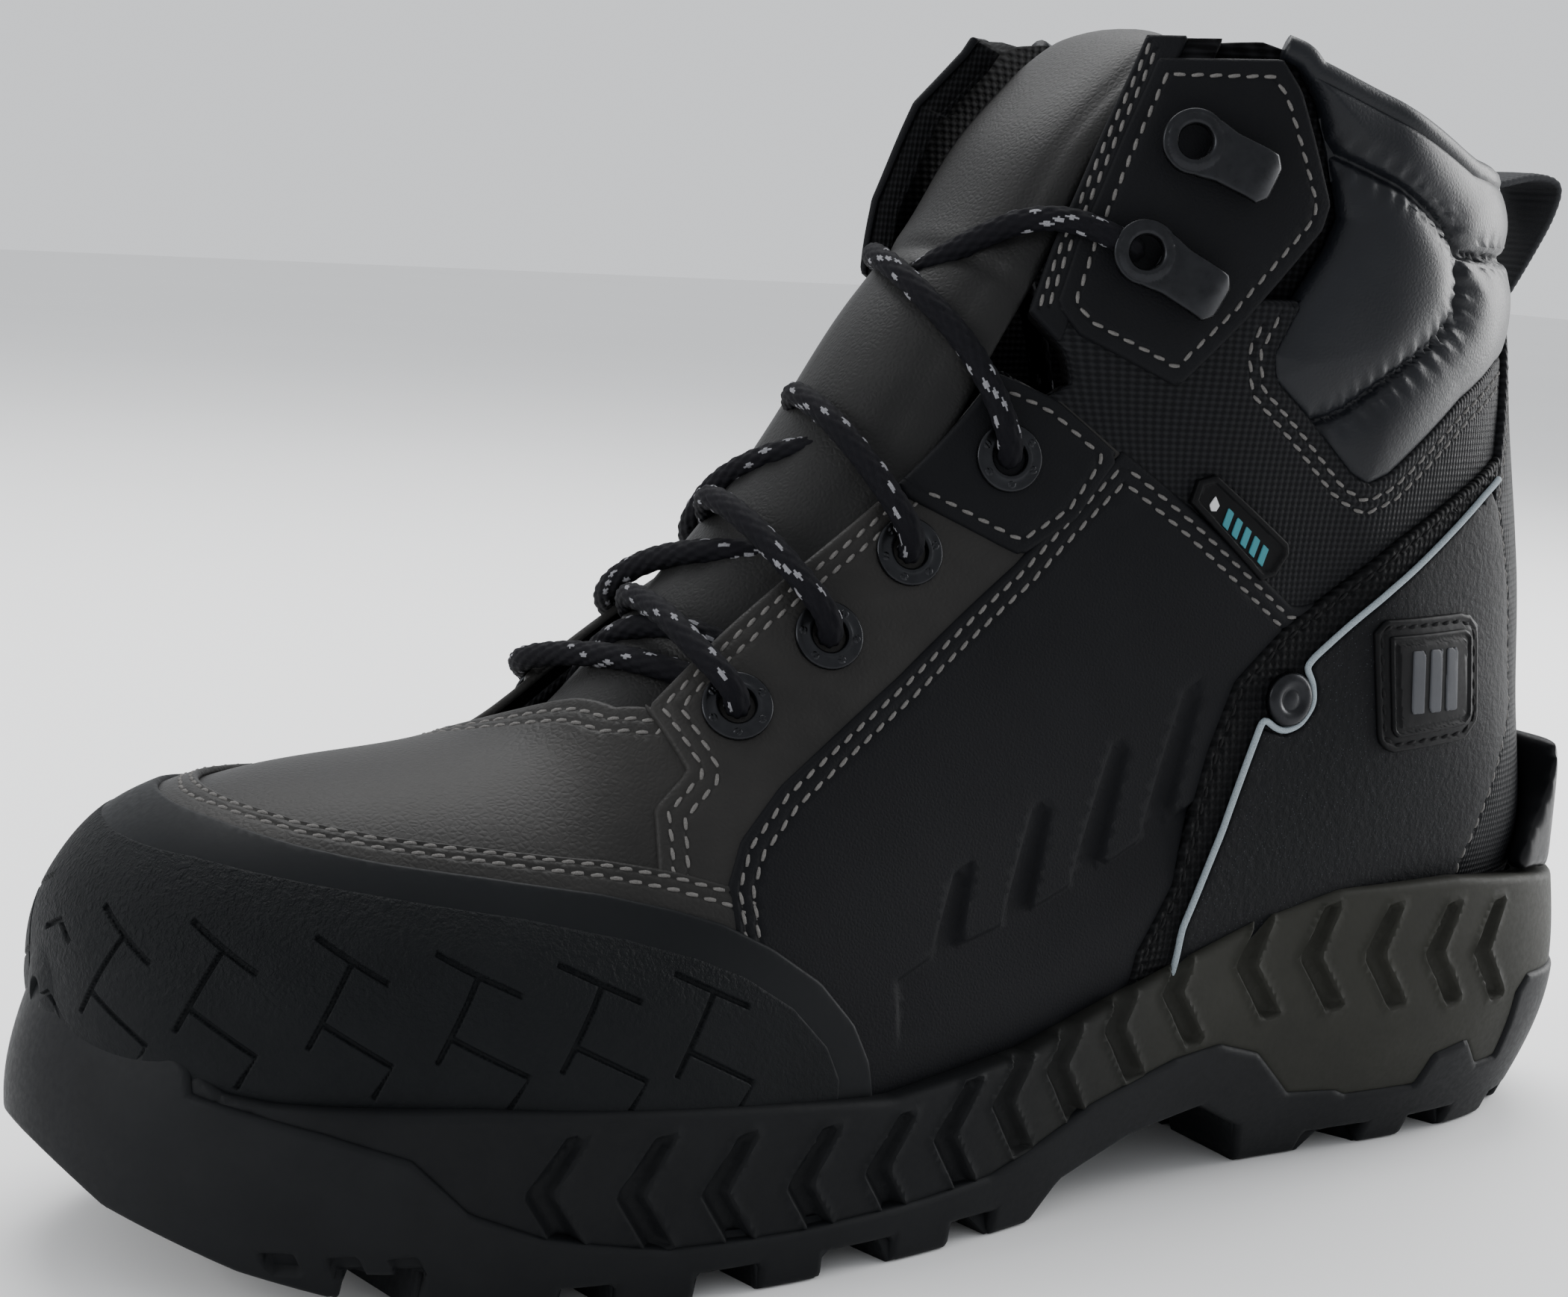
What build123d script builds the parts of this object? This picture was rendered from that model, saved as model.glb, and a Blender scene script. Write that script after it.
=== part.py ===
from build123d import *
import os
from math import sin, cos, pi, hypot, sqrt, tan, radians

# Left safety work boot, ankle height, laced. Millimetres.
# +X points to the toe, +Y to the outer (lateral) side of the foot, +Z up.
# Design space has its zero under the sole's middle; PLACE then centres the whole boot's box on it.
PLACE = Vector(1.0, -2.0, 0.0)
os.makedirs("parts", exist_ok=True)

# ---------------------------------------------------------------- driving dimensions
LEATHER = 2.2            # outer panels
LINING = 2.2             # padded bootie lining, and the toe cap and heel stiffener beside it
TOE_LINER = 1.6          # fleece inside the toe cap and heel stiffener
OVERLAY = 1.8            # panels sewn or glued over the outer panels
BADGE = 0.9              # heel badge over the heel panel
TONGUE_GAP = 9.6         # from the outer surface in to the tongue's face, room for one lace
TONGUE_THICK = 6.0
LACE_R = 2.2
THROAT_LATERAL = 23.5    # edge of the lateral lace flap, from the middle plane
THROAT_MEDIAL = -25.0
TREAD_DEPTH = 4.6
WEBBING_WIDTH = 17.0
TONGUE_SIDE = 5.4        # the tongue's face at its sides, in from the outer surface
TONGUE_TOP_LATERAL = 21.3
TONGUE_TOP_MEDIAL = -22.8
BOARD_THICK = 1.4        # lasting board over the lining's floor
FOOTBED_THICK = 5.0
CHEVRON_DEPTH = 1.6      # arrow grooves in the midsole's wall
CHEVRON_WIDTH = 2.2
SIPE_DEPTH = 3.0         # fine cuts along the tread
EYELET_HOLE = 3.0        # radii of an eyelet's hole, barrel and flange
EYELET_BARREL = 3.4
EYELET_FLANGE = 5.9
EYELET_RIM = 1.0         # flange thickness
SEAT_GAP = 0.3           # clearance under a flange
HOOK_HOLE = 3.0
HOOK_RING = 5.6
HOOK_ARM = 9.0
HOOK_THICK = 1.3
HOOK_LIFT = 2.4
HOOK_FOOT = 6.0          # length of the part of a hook's arm that stands on its patch
RIVET_STEM = 1.6
RIVET_HEAD = 5.0
DRILL_IN = 9.0           # how far holes are cut in and out from the outer surface
DRILL_OUT = 6.0
REACH = 80.0             # half width of cutting blocks, well clear of the boot
RING_POINTS = 20
MIDDLE_SECTION = 9

# Cross sections of the upper's outer surface, toe to collar. Each runs from a point on the
# top line (x, z) to one on the bottom line (x, z), and is a pair of half super-ellipses:
# centre y, lateral and medial half widths, where it is widest, top and bottom powers.
SECTIONS = [
    [150.5, 50.0, 150.5, 36.0, -7.0, 7.0, 7.0, 0.55, 2.0, 2.0],
    [149.0, 57.0, 149.0, 34.5, -7.0, 15.0, 15.0, 0.60, 2.1, 2.3],
    [145.0, 64.0, 145.0, 32.0, -6.0, 23.0, 23.0, 0.65, 2.2, 2.8],
    [138.0, 70.5, 138.0, 29.5, -5.0, 31.0, 31.0, 0.68, 2.3, 3.2],
    [127.0, 75.5, 127.0, 26.5, -3.5, 38.5, 37.5, 0.70, 2.3, 3.8],
    [110.0, 79.3, 110.0, 23.0, -1.5, 44.5, 43.0, 0.70, 2.3, 4.5],
    [91.0, 81.8, 90.0, 20.0, 0.0, 49.0, 46.0, 0.70, 2.2, 5.0],
    [77.0, 86.0, 66.0, 18.0, 0.0, 51.0, 46.0, 0.70, 2.1, 5.0],
    [66.0, 96.0, 38.0, 18.5, 0.0, 50.0, 44.0, 0.72, 2.1, 5.0],
    [54.0, 111.0, 8.0, 21.5, 0.0, 46.5, 40.5, 0.74, 2.1, 4.5],
    [41.0, 127.0, -28.0, 27.0, 0.0, 42.0, 37.5, 0.74, 2.1, 4.0],
    [29.0, 142.0, -68.0, 32.0, 0.0, 39.0, 36.0, 0.70, 2.1, 3.6],
    [19.0, 155.0, -110.0, 33.5, 0.0, 38.0, 36.0, 0.62, 2.1, 3.2],
    [10.0, 167.0, -142.0, 44.0, 0.0, 38.0, 37.0, 0.55, 2.1, 2.5],
    [2.0, 177.0, -143.0, 75.0, 0.0, 39.0, 38.0, 0.50, 2.1, 2.2],
    [-5.0, 186.0, -139.5, 103.0, 0.0, 40.0, 39.0, 0.48, 2.1, 2.1],
    [-11.0, 194.0, -132.0, 132.0, 0.0, 41.0, 40.0, 0.48, 2.1, 2.1],
    [-17.0, 202.0, -126.0, 160.0, 0.0, 42.0, 41.0, 0.48, 2.1, 2.1],
    [-22.0, 209.0, -121.0, 186.0, 0.0, 43.0, 42.0, 0.48, 2.1, 2.1],
    [-30.0, 222.0, -116.0, 212.0, 0.0, 44.0, 43.0, 0.48, 2.1, 2.1],
]
# How far each of the first sections moves back, as a share of the inset, round the toe.
TOE_BACK = [1.0, 0.95, 0.82, 0.65, 0.40, 0.20, 0.05]

# Height of the foot's underside along the boot, on the outer surface.
UNDERSIDE = [(150, 36), (138, 29.5), (127, 26.5), (110, 23), (90, 20), (66, 18), (38, 18.5),
             (8, 21.5), (-28, 27), (-68, 32), (-110, 33.5), (-133, 39), (-145, 50), (-165, 75)]

# ---------------------------------------------------------------- outlines, side view (x, z)
COLLAR_TOP = [(220, 206), (-28, 206), (-44, 206.5), (-51, 204), (-53, 201.5), (-69, 196),
              (-81, 191.7), (-94, 187), (-110, 185), (-200, 185)]
VAMP_EDGE = [(85, 240), (63, 92), (60, 83), (66.5, 77.5), (69, 65), (65, 40), (58, 5)]
EYESTAY_SEAM = [(-24, 240), (-24, 134.6), (-3, 115), (21, 97), (45.6, 80.6), (54, 72.7),
                (57.5, 66), (56, 5)]
ANKLE_SEAM = [(100, 239), (2.6, 148), (-11, 145), (-24, 134.6), (-39, 124), (-61, 107),
              (-86, 112), (-107, 120), (-125, 128), (-200, 133)]
NOTCH = [(12, 156), (-3, 147.5), (-11, 143.5), (-15, 146), (-14, 151), (-6, 160), (6, 166)]
COLLAR_PAD_EDGE = [(-45, 215), (-46, 203), (-55, 192), (-62, 176), (-58, 167), (-46, 155.5),
                   (-46, 147.5), (-55, 139), (-79, 125.5), (-88, 128), (-106, 140), (-122, 148),
                   (-200, 151)]
TOE_BUMPER = [(170, 75), (135.5, 72), (129, 70.5), (110, 68.5), (88, 65), (69, 61.5), (58.6, 58.5),
              (47.7, 50.5), (38, 39), (33, 31), (33, 10), (170, 10)]
EYELET_PATCHES = {
    "lateral": [(0.5, 148.2), (7, 143), (20.6, 128.5), (17.7, 126.7), (-2, 117.3), (-4.4, 116.4),
                (-15, 122.5), (-23.5, 133.6), (-12, 143)],
    "medial": [(0.5, 148.2), (7, 143), (24, 124), (20, 120), (4, 111), (0, 110.5),
               (-13, 118.5), (-23.5, 133.6), (-12, 143)],
}
HOOK_PATCH = [(-29, 202), (-46.5, 203), (-50, 198), (-58, 179), (-57, 174.5), (-44, 158),
              (-33, 146), (-16, 154), (-12, 159), (-16, 172), (-26, 197)]
HEEL_EDGE = [(-31, 20), (-34, 43), (-44, 68), (-47, 85), (-50.6, 95), (-59, 102), (-68.5, 109),
             (-86, 119), (-107, 131.6), (-125, 141), (-200, 146)]
PIPING_LINE = [(-36, 20), (-39, 46), (-48, 67), (-54.6, 85), (-61.5, 83.5), (-66.8, 88),
               (-66, 94), (-62, 98.5), (-76.5, 106), (-99, 120.5), (-107.5, 127), (-125, 136),
               (-200, 141)]
PIPING_WIDTH = 1.6
BACK_STAY_EDGE = [(-109, 20), (-109, 56), (-116, 71), (-122, 85), (-118, 107), (-110, 125),
                  (-114, 142), (-118, 158), (-200, 158)]
HEEL_BADGE = [(-84, 104), (-104, 105), (-109, 82), (-88, 80)]
SIDE_LABEL = [(-43.5, 130), (-38.5, 124.5), (-51.5, 109.5), (-56.5, 114)]
TOE_CAP_LINE = [(98, 110), (96, 60), (98, 10)]
HEEL_STIFFENER = [(-62, 30), (-72, 60), (-84, 84), (-104, 98), (-160, 104), (-160, 30)]
ANKLE_LINING_LINE = [(90, 132), (-20, 132), (-60, 118), (-160, 118)]

# Eyelets: (x, z) of each hole on the lateral side, then on the medial side, which sits further
# forward because the throat is skewed across the instep.
LATERAL_EYELETS = [(50.0, 92.4), (32.6, 103.4), (16.3, 116.9), (-2.7, 132.7)]
MEDIAL_EYELETS = [(55.0, 84.0), (38.0, 94.0), (22.0, 106.0), (3.0, 121.0)]
LATERAL_HOOKS = [((-25.2, 168.6), (-37.5, 161.2)), ((-32.8, 187.6), (-45.0, 181.8))]
MEDIAL_HOOKS = [((-25.2, 166.6), (-37.5, 159.2)), ((-32.8, 185.6), (-45.0, 179.8))]
HEEL_RIVET = (-60.3, 90.6)

# ---------------------------------------------------------------- outlines, plan view (x, y)
SOLE_WIDEST = [(156, -8), (151.5, 11), (142, 26.5), (127, 40), (107, 49), (83, 53.4), (55, 54),
               (25, 52), (-5, 48), (-35, 43.5), (-65, 41.5), (-95, 41.5), (-122, 38.5),
               (-143, 29.5), (-155, 14), (-158, -1), (-154, -15), (-142, -28), (-121, -36),
               (-93, -38.5), (-63, -38), (-33, -38.5), (-3, -42), (27, -47), (57, -50),
               (85, -49.6), (108, -48), (128, -42.5), (144, -31.5), (153, -20)]
SOLE_TREAD = [(150, -9), (146, 8), (137, 22), (122, 35), (103, 44), (81, 49.5), (54, 51.5),
              (25, 49.5), (-4, 44), (-34, 36), (-64, 31), (-94, 31), (-119, 29), (-138, 22),
              (-148.5, 10), (-151, -1), (-148, -12), (-137, -22), (-117, -28.5), (-92, -30),
              (-62, -30), (-32, -33), (-3, -38), (27, -43.5), (56, -46.5), (83, -47),
              (104, -44.5), (122, -38), (138, -28), (147, -19)]
FILLER = [(128, -6), (118, 16), (95, 30), (60, 34), (25, 32), (-10, 27), (-50, 23), (-90, 23),
          (-118, 18), (-126, 0), (-118, -17), (-90, -21), (-50, -21), (-10, -23), (25, -27),
          (60, -30), (95, -28), (118, -21)]
THROAT = [(80, -14), (75, -3), (69, 10), (66, 18.5), (62, THROAT_LATERAL),
          (-90, THROAT_LATERAL), (-90, THROAT_MEDIAL), (72, THROAT_MEDIAL), (78, -24)]

# Side view of the sole.
MIDSOLE_TOP = [(170, 45), (151, 45.5), (147.6, 48), (143.8, 46.8), (140.6, 41.4), (135.5, 36.8),
               (130, 36), (101, 35.6), (70, 33.3), (48, 31.5), (27, 29.5), (-3, 33), (-33.5, 42.6),
               (-57, 50), (-77, 54), (-107.5, 54), (-128, 52), (-154, 49), (-170, 49)]
RUBBER_TOP = [(170, 70), (139.5, 70), (139, 36), (123, 32.3), (111, 28.4), (101.8, 19.2),
              (90, 14.3), (81, 12.2), (68, 9.8), (45, 9.5), (20, 10.5), (4, 12), (-7, 16),
              (-18, 21), (-38, 26.6), (-49, 28), (-59, 25), (-70, 15), (-82, 14), (-85, 12.7),
              (-103, 12.6), (-105, 19), (-114, 21), (-120, 14.6), (-126, 15), (-127.3, 28.8),
              (-131, 32), (-170, 30)]
GROUND_LINE = [(170, 34), (158, 24), (148, 14.5), (132, 7.5), (114, 2.6), (94, 0), (-8, 0),
               (-14, 7), (-30, 12.5), (-48, 15.5), (-60, 9), (-64, 0), (-143, 0), (-152, 3.5),
               (-159, 11), (-170, 20)]
FOREFOOT_GAPS = [(118, 106), (86, 77), (63, 51.5), (39, 25), (11.5, 1.5)]
HEEL_GAPS = [(-79, -94), (-106, -117.5), (-132.5, -144)]
CHEVRON_TOPS = [(85.5, 30.5), (70.5, 29), (55.5, 27.5), (39.5, 26.5), (24, 26.5), (10, 30),
                (-2.5, 34), (-14.5, 38.5), (-28, 43.5), (-42, 48), (-60, 51), (-75.5, 51),
                (-91, 50), (-106.5, 49), (-120, 48)]

SHANK_SIDE = [(22, 22), (-10, 27), (-45, 32), (-92, 36), (-92, 29.6), (-45, 26), (-10, 21), (22, 17.4)]
SHANK_HALF_WIDTH = 7
SOLE_LEVELS = [0, 27, 46, 66]
KICK_LEDGE = [(-126, 40), (-170, 40), (-156, 50), (-156, 58), (-153.5, 66), (-148.5, 74),
              (-143, 77), (-138, 66), (-130, 56)]

# Tongue, side view: the strip that it fills, the seam below its padded top, and its fold.
TONGUE_ZONE = [(94, 120), (94, 58), (71, 52), (53.8, 62), (37.5, 79), (20.5, 97.4), (5.2, 115),
               (-7.2, 130.3), (-18, 144.4), (-27.4, 156.3), (-30, 200), (30, 200)]
TONGUE_SEAM = [(64.5, 185), (14.5, 147), (-40, 105.6)]
TONGUE_FOLD = [(42, 207.5), (-5.9, 171.5), (-46, 141.4)]
TONGUE_TOP = [(-5.9, 171.5), (-10.5, 181), (-17, 191), (-27, 201.5), (-37, 208.5), (-43.5, 210),
              (-46, 206), (-37, 198.5), (-27.5, 188), (-20, 177), (-15.5, 164.8)]
UNDER_VAMP = [(81, 50), (94, 50), (94, 110), (81, 110)]
GUSSET_SIDE = [(8, 40), (80, 40), (80, 130), (8, 130)]
GUSSET_FROM = 34.3       # each gusset web's distance from the middle plane
GUSSET_TO = 36.0
LOOP_OUTSIDE = [(-128.9, 186.6), (-144.8, 188.1), (-147.3, 184.5), (-144.4, 178), (-133.4, 160.2)]
LOOP_INSIDE = [(-120, 183.2), (-143.6, 186.1), (-145.2, 184.3), (-142.6, 178), (-130.0, 158.1)]
LOOP_TABS = [[(-112, 184.6), (-124.6, 186.2), (-124.6, 184.5), (-112, 182.9)],
             [(-118, 163.5), (-129.3, 163.5), (-130.3, 160.5), (-118, 160.5)]]

parts = {}
OUTWARD = {"lateral": 1, "medial": -1}


# ---------------------------------------------------------------- helpers
def drawn_out(corners, direction):
    """A flat face on these corners, drawn out along a direction."""
    face = Face(Wire.make_polygon([Vector(*corner) for corner in corners], close=True))
    if face.normal_at().dot(direction) < 0:
        face = -face
    return Solid.extrude(face, direction)


def side_prism(outline, y_from=-REACH, y_to=REACH):
    """A side-view outline (x, z), drawn out across the boot between two y values."""
    return drawn_out([(x, y_from, z) for x, z in outline], Vector(0, y_to - y_from, 0))


def plan_prism(outline, z_from, z_to):
    """A plan-view outline (x, y), drawn up between two heights."""
    return drawn_out([(x, y, z_from) for x, y in outline], Vector(0, 0, z_to - z_from))


def side_of(outline, side):
    """A side-view outline on one side of the middle plane only."""
    return side_prism(outline, 0, REACH * OUTWARD[side])


def half_space(side):
    """Everything on one side of the middle plane."""
    return side_of([(-220, -20), (200, -20), (200, 240), (-220, 240)], side)


def closed_by(line, corners):
    """A line closed into an outline by extra corners, with no corner twice in a row."""
    outline = list(line)
    for corner in corners:
        if corner != outline[-1] and corner != outline[0]:
            outline.append(corner)
    return outline


def below(line):
    return closed_by(line, [(line[-1][0], -20), (line[0][0], -20)])


def above(line):
    return closed_by(line, [(line[-1][0], 240), (line[0][0], 240)])


def ahead(line):
    return closed_by(line, [(200, line[-1][1]), (200, line[0][1])])


def behind(line):
    return closed_by(line, [(-200, line[-1][1]), (-200, line[0][1])])


def widened(line, half_width):
    """A ribbon outline of the given half width along a side-view line."""
    left, right = [], []
    for i, (x, z) in enumerate(line):
        x0, z0 = line[max(i - 1, 0)]
        x1, z1 = line[min(i + 1, len(line) - 1)]
        length = hypot(x1 - x0, z1 - z0)
        nx, nz = -(z1 - z0) / length * half_width, (x1 - x0) / length * half_width
        left.append((x + nx, z + nz))
        right.append((x - nx, z - nz))
    return left + right[::-1]


def lifted(line, rise):
    """A side-view line moved up."""
    return [(x, z + rise) for x, z in line]


def section_points(index, inset, side_inset):
    """Points round one cross section, set in from the outer surface by the two insets."""
    top_x, top_z, low_x, low_z, mid_y, lateral, medial, widest, p, q = SECTIONS[index]
    back = TOE_BACK[index] if index < len(TOE_BACK) else 0.0
    top_x, low_x = top_x - back * inset, low_x - back * inset
    inset *= sqrt(1 - back * back)
    side_inset *= sqrt(1 - back * back)
    length = hypot(low_x - top_x, low_z - top_z)
    along = ((low_x - top_x) / length, (low_z - top_z) / length)
    middle = length * widest
    points = []
    for i in range(RING_POINTS):
        angle = -pi / 2 + 2 * pi * i / RING_POINTS
        s, c = sin(angle), cos(angle)
        power = 2 / p if s < 0 else 2 / q
        reach = middle - inset if s < 0 else length - inset - middle
        a = middle + (reach if s > 0 else -reach) * abs(s) ** power
        width = (lateral if c >= 0 else medial) - side_inset
        b = 0 if abs(c) < 1e-9 else (width if c > 0 else -width) * abs(c) ** power
        points.append(Vector(top_x + along[0] * a, mid_y + b, top_z + along[1] * a))
    return points


def chord_shares(points):
    """Running share of the length round a closed row of points, for even spline knots."""
    steps = [(b - a).length for a, b in zip(points, points[1:] + points[:1])]
    total = sum(steps)
    shares = [0.0]
    for step in steps:
        shares.append(shares[-1] + step / total)
    return shares


def closed_spline(points, shares):
    """A smooth closed wire. Rings of one form share their knots, which keeps it light."""
    return Wire([Edge.make_spline(points, periodic=True, parameters=shares)])


def foot_form(inset, side_inset=None):
    """The closed form of the upper, set in by inset from its outer surface."""
    side_inset = inset if side_inset is None else side_inset
    shares = chord_shares(section_points(MIDDLE_SECTION, 0, 0))
    rings = [closed_spline(section_points(index, inset, side_inset), shares)
             for index in range(len(SECTIONS))]
    return Solid.make_loft(rings)


def throat_point(t, y, depth):
    """A point over the instep: t counts the sections, depth is in from the outer surface."""
    low = int(t)
    share = t - low
    row = [a + (b - a) * share for a, b in zip(SECTIONS[low], SECTIONS[low + 1])]
    top_x, top_z, low_x, low_z, mid_y, lateral, medial, widest, p, q = row
    length = hypot(low_x - top_x, low_z - top_z)
    middle = length * widest
    width = (lateral if y > 0 else medial) - depth * TONGUE_SIDE / TONGUE_GAP
    share = min(abs(y - mid_y) / width, 0.999)
    a = middle - (middle - depth) * (1 - share ** p) ** (1 / p)
    return Vector(top_x + (low_x - top_x) / length * a, y, top_z + (low_z - top_z) / length * a)


def on_side(form, x, z, side):
    """The point on a form's surface at (x, z) on one side, and the surface's normal there."""
    hits = form.faces_intersected_by_axis(Axis((x, 0, z), (0, OUTWARD[side], 0)))
    ray = Edge.make_line((x, 0, z), (x, REACH * OUTWARD[side], z))
    inside = ray & form
    reach = max(v.Y * OUTWARD[side] for v in inside.vertices())
    point = Vector(x, reach * OUTWARD[side], z)
    face = hits.sort_by(lambda f: f.distance_to(point))[0]
    normal = face.normal_at(point)
    if normal.Y * OUTWARD[side] < 0:
        normal = normal * -1
    return point, normal


def disc(point, normal, radius, start, end):
    """A cylinder along a normal, from start to end beyond the point."""
    plane = Plane(origin=point + normal * start, z_dir=normal)
    return Solid.make_cylinder(radius, end - start, plane)


def smooth_loop(outline, z):
    """A plan-view outline of the sole as a smooth closed wire at one height."""
    shares = chord_shares([Vector(x, y, 0) for x, y in SOLE_WIDEST])
    return closed_spline([Vector(x, y, z) for x, y in outline], shares)


def biggest(shape):
    """The largest solid of a shape."""
    return sorted(shape.solids(), key=lambda s: s.volume)[-1]


def whole(shape, smallest=3.0):
    """All the solids of a shape but the crumbs."""
    return [s for s in shape.solids() if s.volume > smallest]


def keep(name, *shapes):
    """Record a sub-part made of one or more separate solids."""
    solids = []
    for shape in shapes:
        solids.extend(whole(shape))
    parts[name] = solids


def rounded_route(points):
    """Straight runs joined by arcs, each as large as its two runs allow."""
    points = [Vector(*p) if isinstance(p, tuple) else p for p in points]
    radii = []
    for a, b, c in zip(points, points[1:], points[2:]):
        turn = radians((b - a).get_angle(c - b))
        shorter = min((b - a).length, (c - b).length)
        radii.append(0.45 * shorter / tan(turn / 2))
    return FilletPolyline(*points, radius=radii)


def tube(points, radius):
    """A round cord along a route."""
    path = rounded_route(points).wire()
    start = Plane(origin=path @ 0, z_dir=path % 0)
    return Solid.sweep(Face(Wire.make_circle(radius, start)), path)


# ---------------------------------------------------------------- the forms
outer = foot_form(0)
inner = foot_form(LEATHER)
cavity = foot_form(LEATHER + LINING)
liner = foot_form(LEATHER + LINING + TOE_LINER)
overlay = foot_form(-OVERLAY)
badge_skin = foot_form(-OVERLAY - BADGE)

trim_top = side_prism(above(COLLAR_TOP), -90, 90)
throat = plan_prism(THROAT, 60, 240)
open_top = trim_top + throat + side_prism(NOTCH)

leather = (outer - inner) - open_top
lining = (inner - cavity) - open_top
toe_liner = cavity - liner
skin = (overlay - outer) - open_top
badge_layer = badge_skin - overlay

# ---------------------------------------------------------------- hardware seats
eyelet_seats = {
    "lateral": [on_side(outer, x, z, "lateral") for x, z in LATERAL_EYELETS],
    "medial": [on_side(outer, x, z, "medial") for x, z in MEDIAL_EYELETS],
}
hook_seats = {
    "lateral": [(on_side(outer, *ring, "lateral"), on_side(outer, *tail, "lateral"))
                for ring, tail in LATERAL_HOOKS],
    "medial": [(on_side(outer, *ring, "medial"), on_side(outer, *tail, "medial"))
               for ring, tail in MEDIAL_HOOKS],
}
holes = []
for side in OUTWARD:
    for point, normal in eyelet_seats[side]:
        holes.append(disc(point, normal, EYELET_BARREL, -DRILL_IN, DRILL_OUT))
    for (point, normal), tail in hook_seats[side]:
        holes.append(disc(point, normal, HOOK_HOLE, -DRILL_IN, DRILL_OUT))
    point, normal = on_side(outer, *HEEL_RIVET, side)
    holes.append(disc(point, normal, RIVET_STEM, -LEATHER - LINING - 0.6, DRILL_OUT))
all_holes = Compound(holes)
leather_drilled = leather - all_holes
lining_drilled = lining - all_holes
skin_drilled = skin - all_holes

# ---------------------------------------------------------------- outer panels
filler_zone = plan_prism(FILLER, 0, 60)
panels = leather_drilled - filler_zone
keep("bottom_filler", (outer - inner) & filler_zone)
keep("vamp", biggest(panels & side_prism(ahead(VAMP_EDGE))))
rear = panels & side_prism(behind(VAMP_EDGE))
low_rear = rear & side_prism(below(ANKLE_SEAM))
high_rear = rear & side_prism(above(ANKLE_SEAM))
collar_zone = side_prism(behind(COLLAR_PAD_EDGE))
for side in OUTWARD:
    low_half = low_rear & half_space(side)
    keep("lace_stay_" + side, biggest(low_half & side_prism(ahead(EYESTAY_SEAM))))
    keep("quarter_" + side, biggest(low_half & side_prism(behind(EYESTAY_SEAM))))
keep("ankle_panel", high_rear - collar_zone)
keep("collar_pad", biggest(high_rear & collar_zone))

# ---------------------------------------------------------------- overlays
bumper_zone = side_prism(TOE_BUMPER)
keep("toe_bumper", biggest(skin & bumper_zone))
stay_zone = side_prism(behind(BACK_STAY_EDGE))
heel_zone = side_prism(behind(HEEL_EDGE))
heel_skin = (skin_drilled & heel_zone) - stay_zone
piping_zone = side_prism(widened(PIPING_LINE, PIPING_WIDTH / 2))
keep("back_stay", biggest(skin & stay_zone & side_prism(below([(-90, 162), (-200, 162)]))))
inside_piping = side_prism(behind(PIPING_LINE))
for side in OUTWARD:
    mine = heel_skin & half_space(side)
    keep("reflective_piping_" + side, mine & piping_zone)
    rest = mine - piping_zone
    keep("heel_panel_" + side, biggest(rest & inside_piping))
    keep("heel_binding_" + side, biggest(rest - inside_piping))
    keep("eyelet_patch_" + side, biggest(skin_drilled & side_of(EYELET_PATCHES[side], side)))
    keep("hook_patch_" + side, biggest(skin_drilled & side_of(HOOK_PATCH, side)))
    keep("heel_badge_" + side, biggest(badge_layer & side_of(HEEL_BADGE, side)))
keep("side_label", biggest(skin & side_of(SIDE_LABEL, "lateral")))

# ---------------------------------------------------------------- inside the upper
board_zone = side_prism(below(lifted(UNDERSIDE, LEATHER + LINING + BOARD_THICK)))
cap_zone = side_prism(ahead(TOE_CAP_LINE))
stiffener_zone = side_prism(HEEL_STIFFENER)
keep("lasting_board", biggest(lining & board_zone))
walls = lining_drilled - board_zone
keep("safety_toe_cap", biggest(walls & cap_zone))
keep("heel_stiffener", biggest(walls & stiffener_zone))
bootie = walls - cap_zone - stiffener_zone
upper_zone = side_prism(above(ANKLE_LINING_LINE))
keep("collar_lining", bootie & upper_zone)
keep("bootie_lining", biggest(bootie - upper_zone))
footbed_top = lifted(UNDERSIDE, LEATHER + LINING + TOE_LINER + FOOTBED_THICK)
footbed_zone = side_prism(below(footbed_top))
keep("footbed", biggest(liner & footbed_zone))
liner_walls = toe_liner - footbed_zone
keep("toe_liner", biggest(liner_walls & cap_zone))
keep("heel_liner", biggest(liner_walls & stiffener_zone))


# ---------------------------------------------------------------- the sole
def drawn_in(outline, toe, sides):
    """A sole outline with its front half drawn back by up to toe and its edge in by sides."""
    moved = []
    for x, y in outline:
        length = hypot(x * 0.4, y)
        back = toe * max(0.0, (x - 95) / 60)
        moved.append((x - back - x * 0.4 / length * sides, y - y / length * sides))
    return moved


def sole_form(inset):
    """The sole's outer form from the tread up, set in by inset."""
    return Solid.make_loft([
        smooth_loop(drawn_in(SOLE_TREAD, 0, inset), SOLE_LEVELS[0]),
        smooth_loop(drawn_in(SOLE_WIDEST, 0, inset), SOLE_LEVELS[1]),
        smooth_loop(drawn_in(SOLE_WIDEST, 4.5, inset + 0.8), SOLE_LEVELS[2]),
        smooth_loop(drawn_in(SOLE_WIDEST, 9, inset + 4), SOLE_LEVELS[3]),
    ])


def gap_outline(front, back, edge):
    """A V-shaped channel right across the tread, wide at both edges, pointing to the toe."""
    centre = (front + back) / 2 + 5
    return [(front, 80), (back, 80), (back, edge), (centre - 2.5, 9), (centre - 2.5, -9),
            (back, -edge), (back, -80), (front, -80), (front, -edge), (centre + 2.5, -9),
            (centre + 2.5, 9), (front, edge)]


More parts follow.
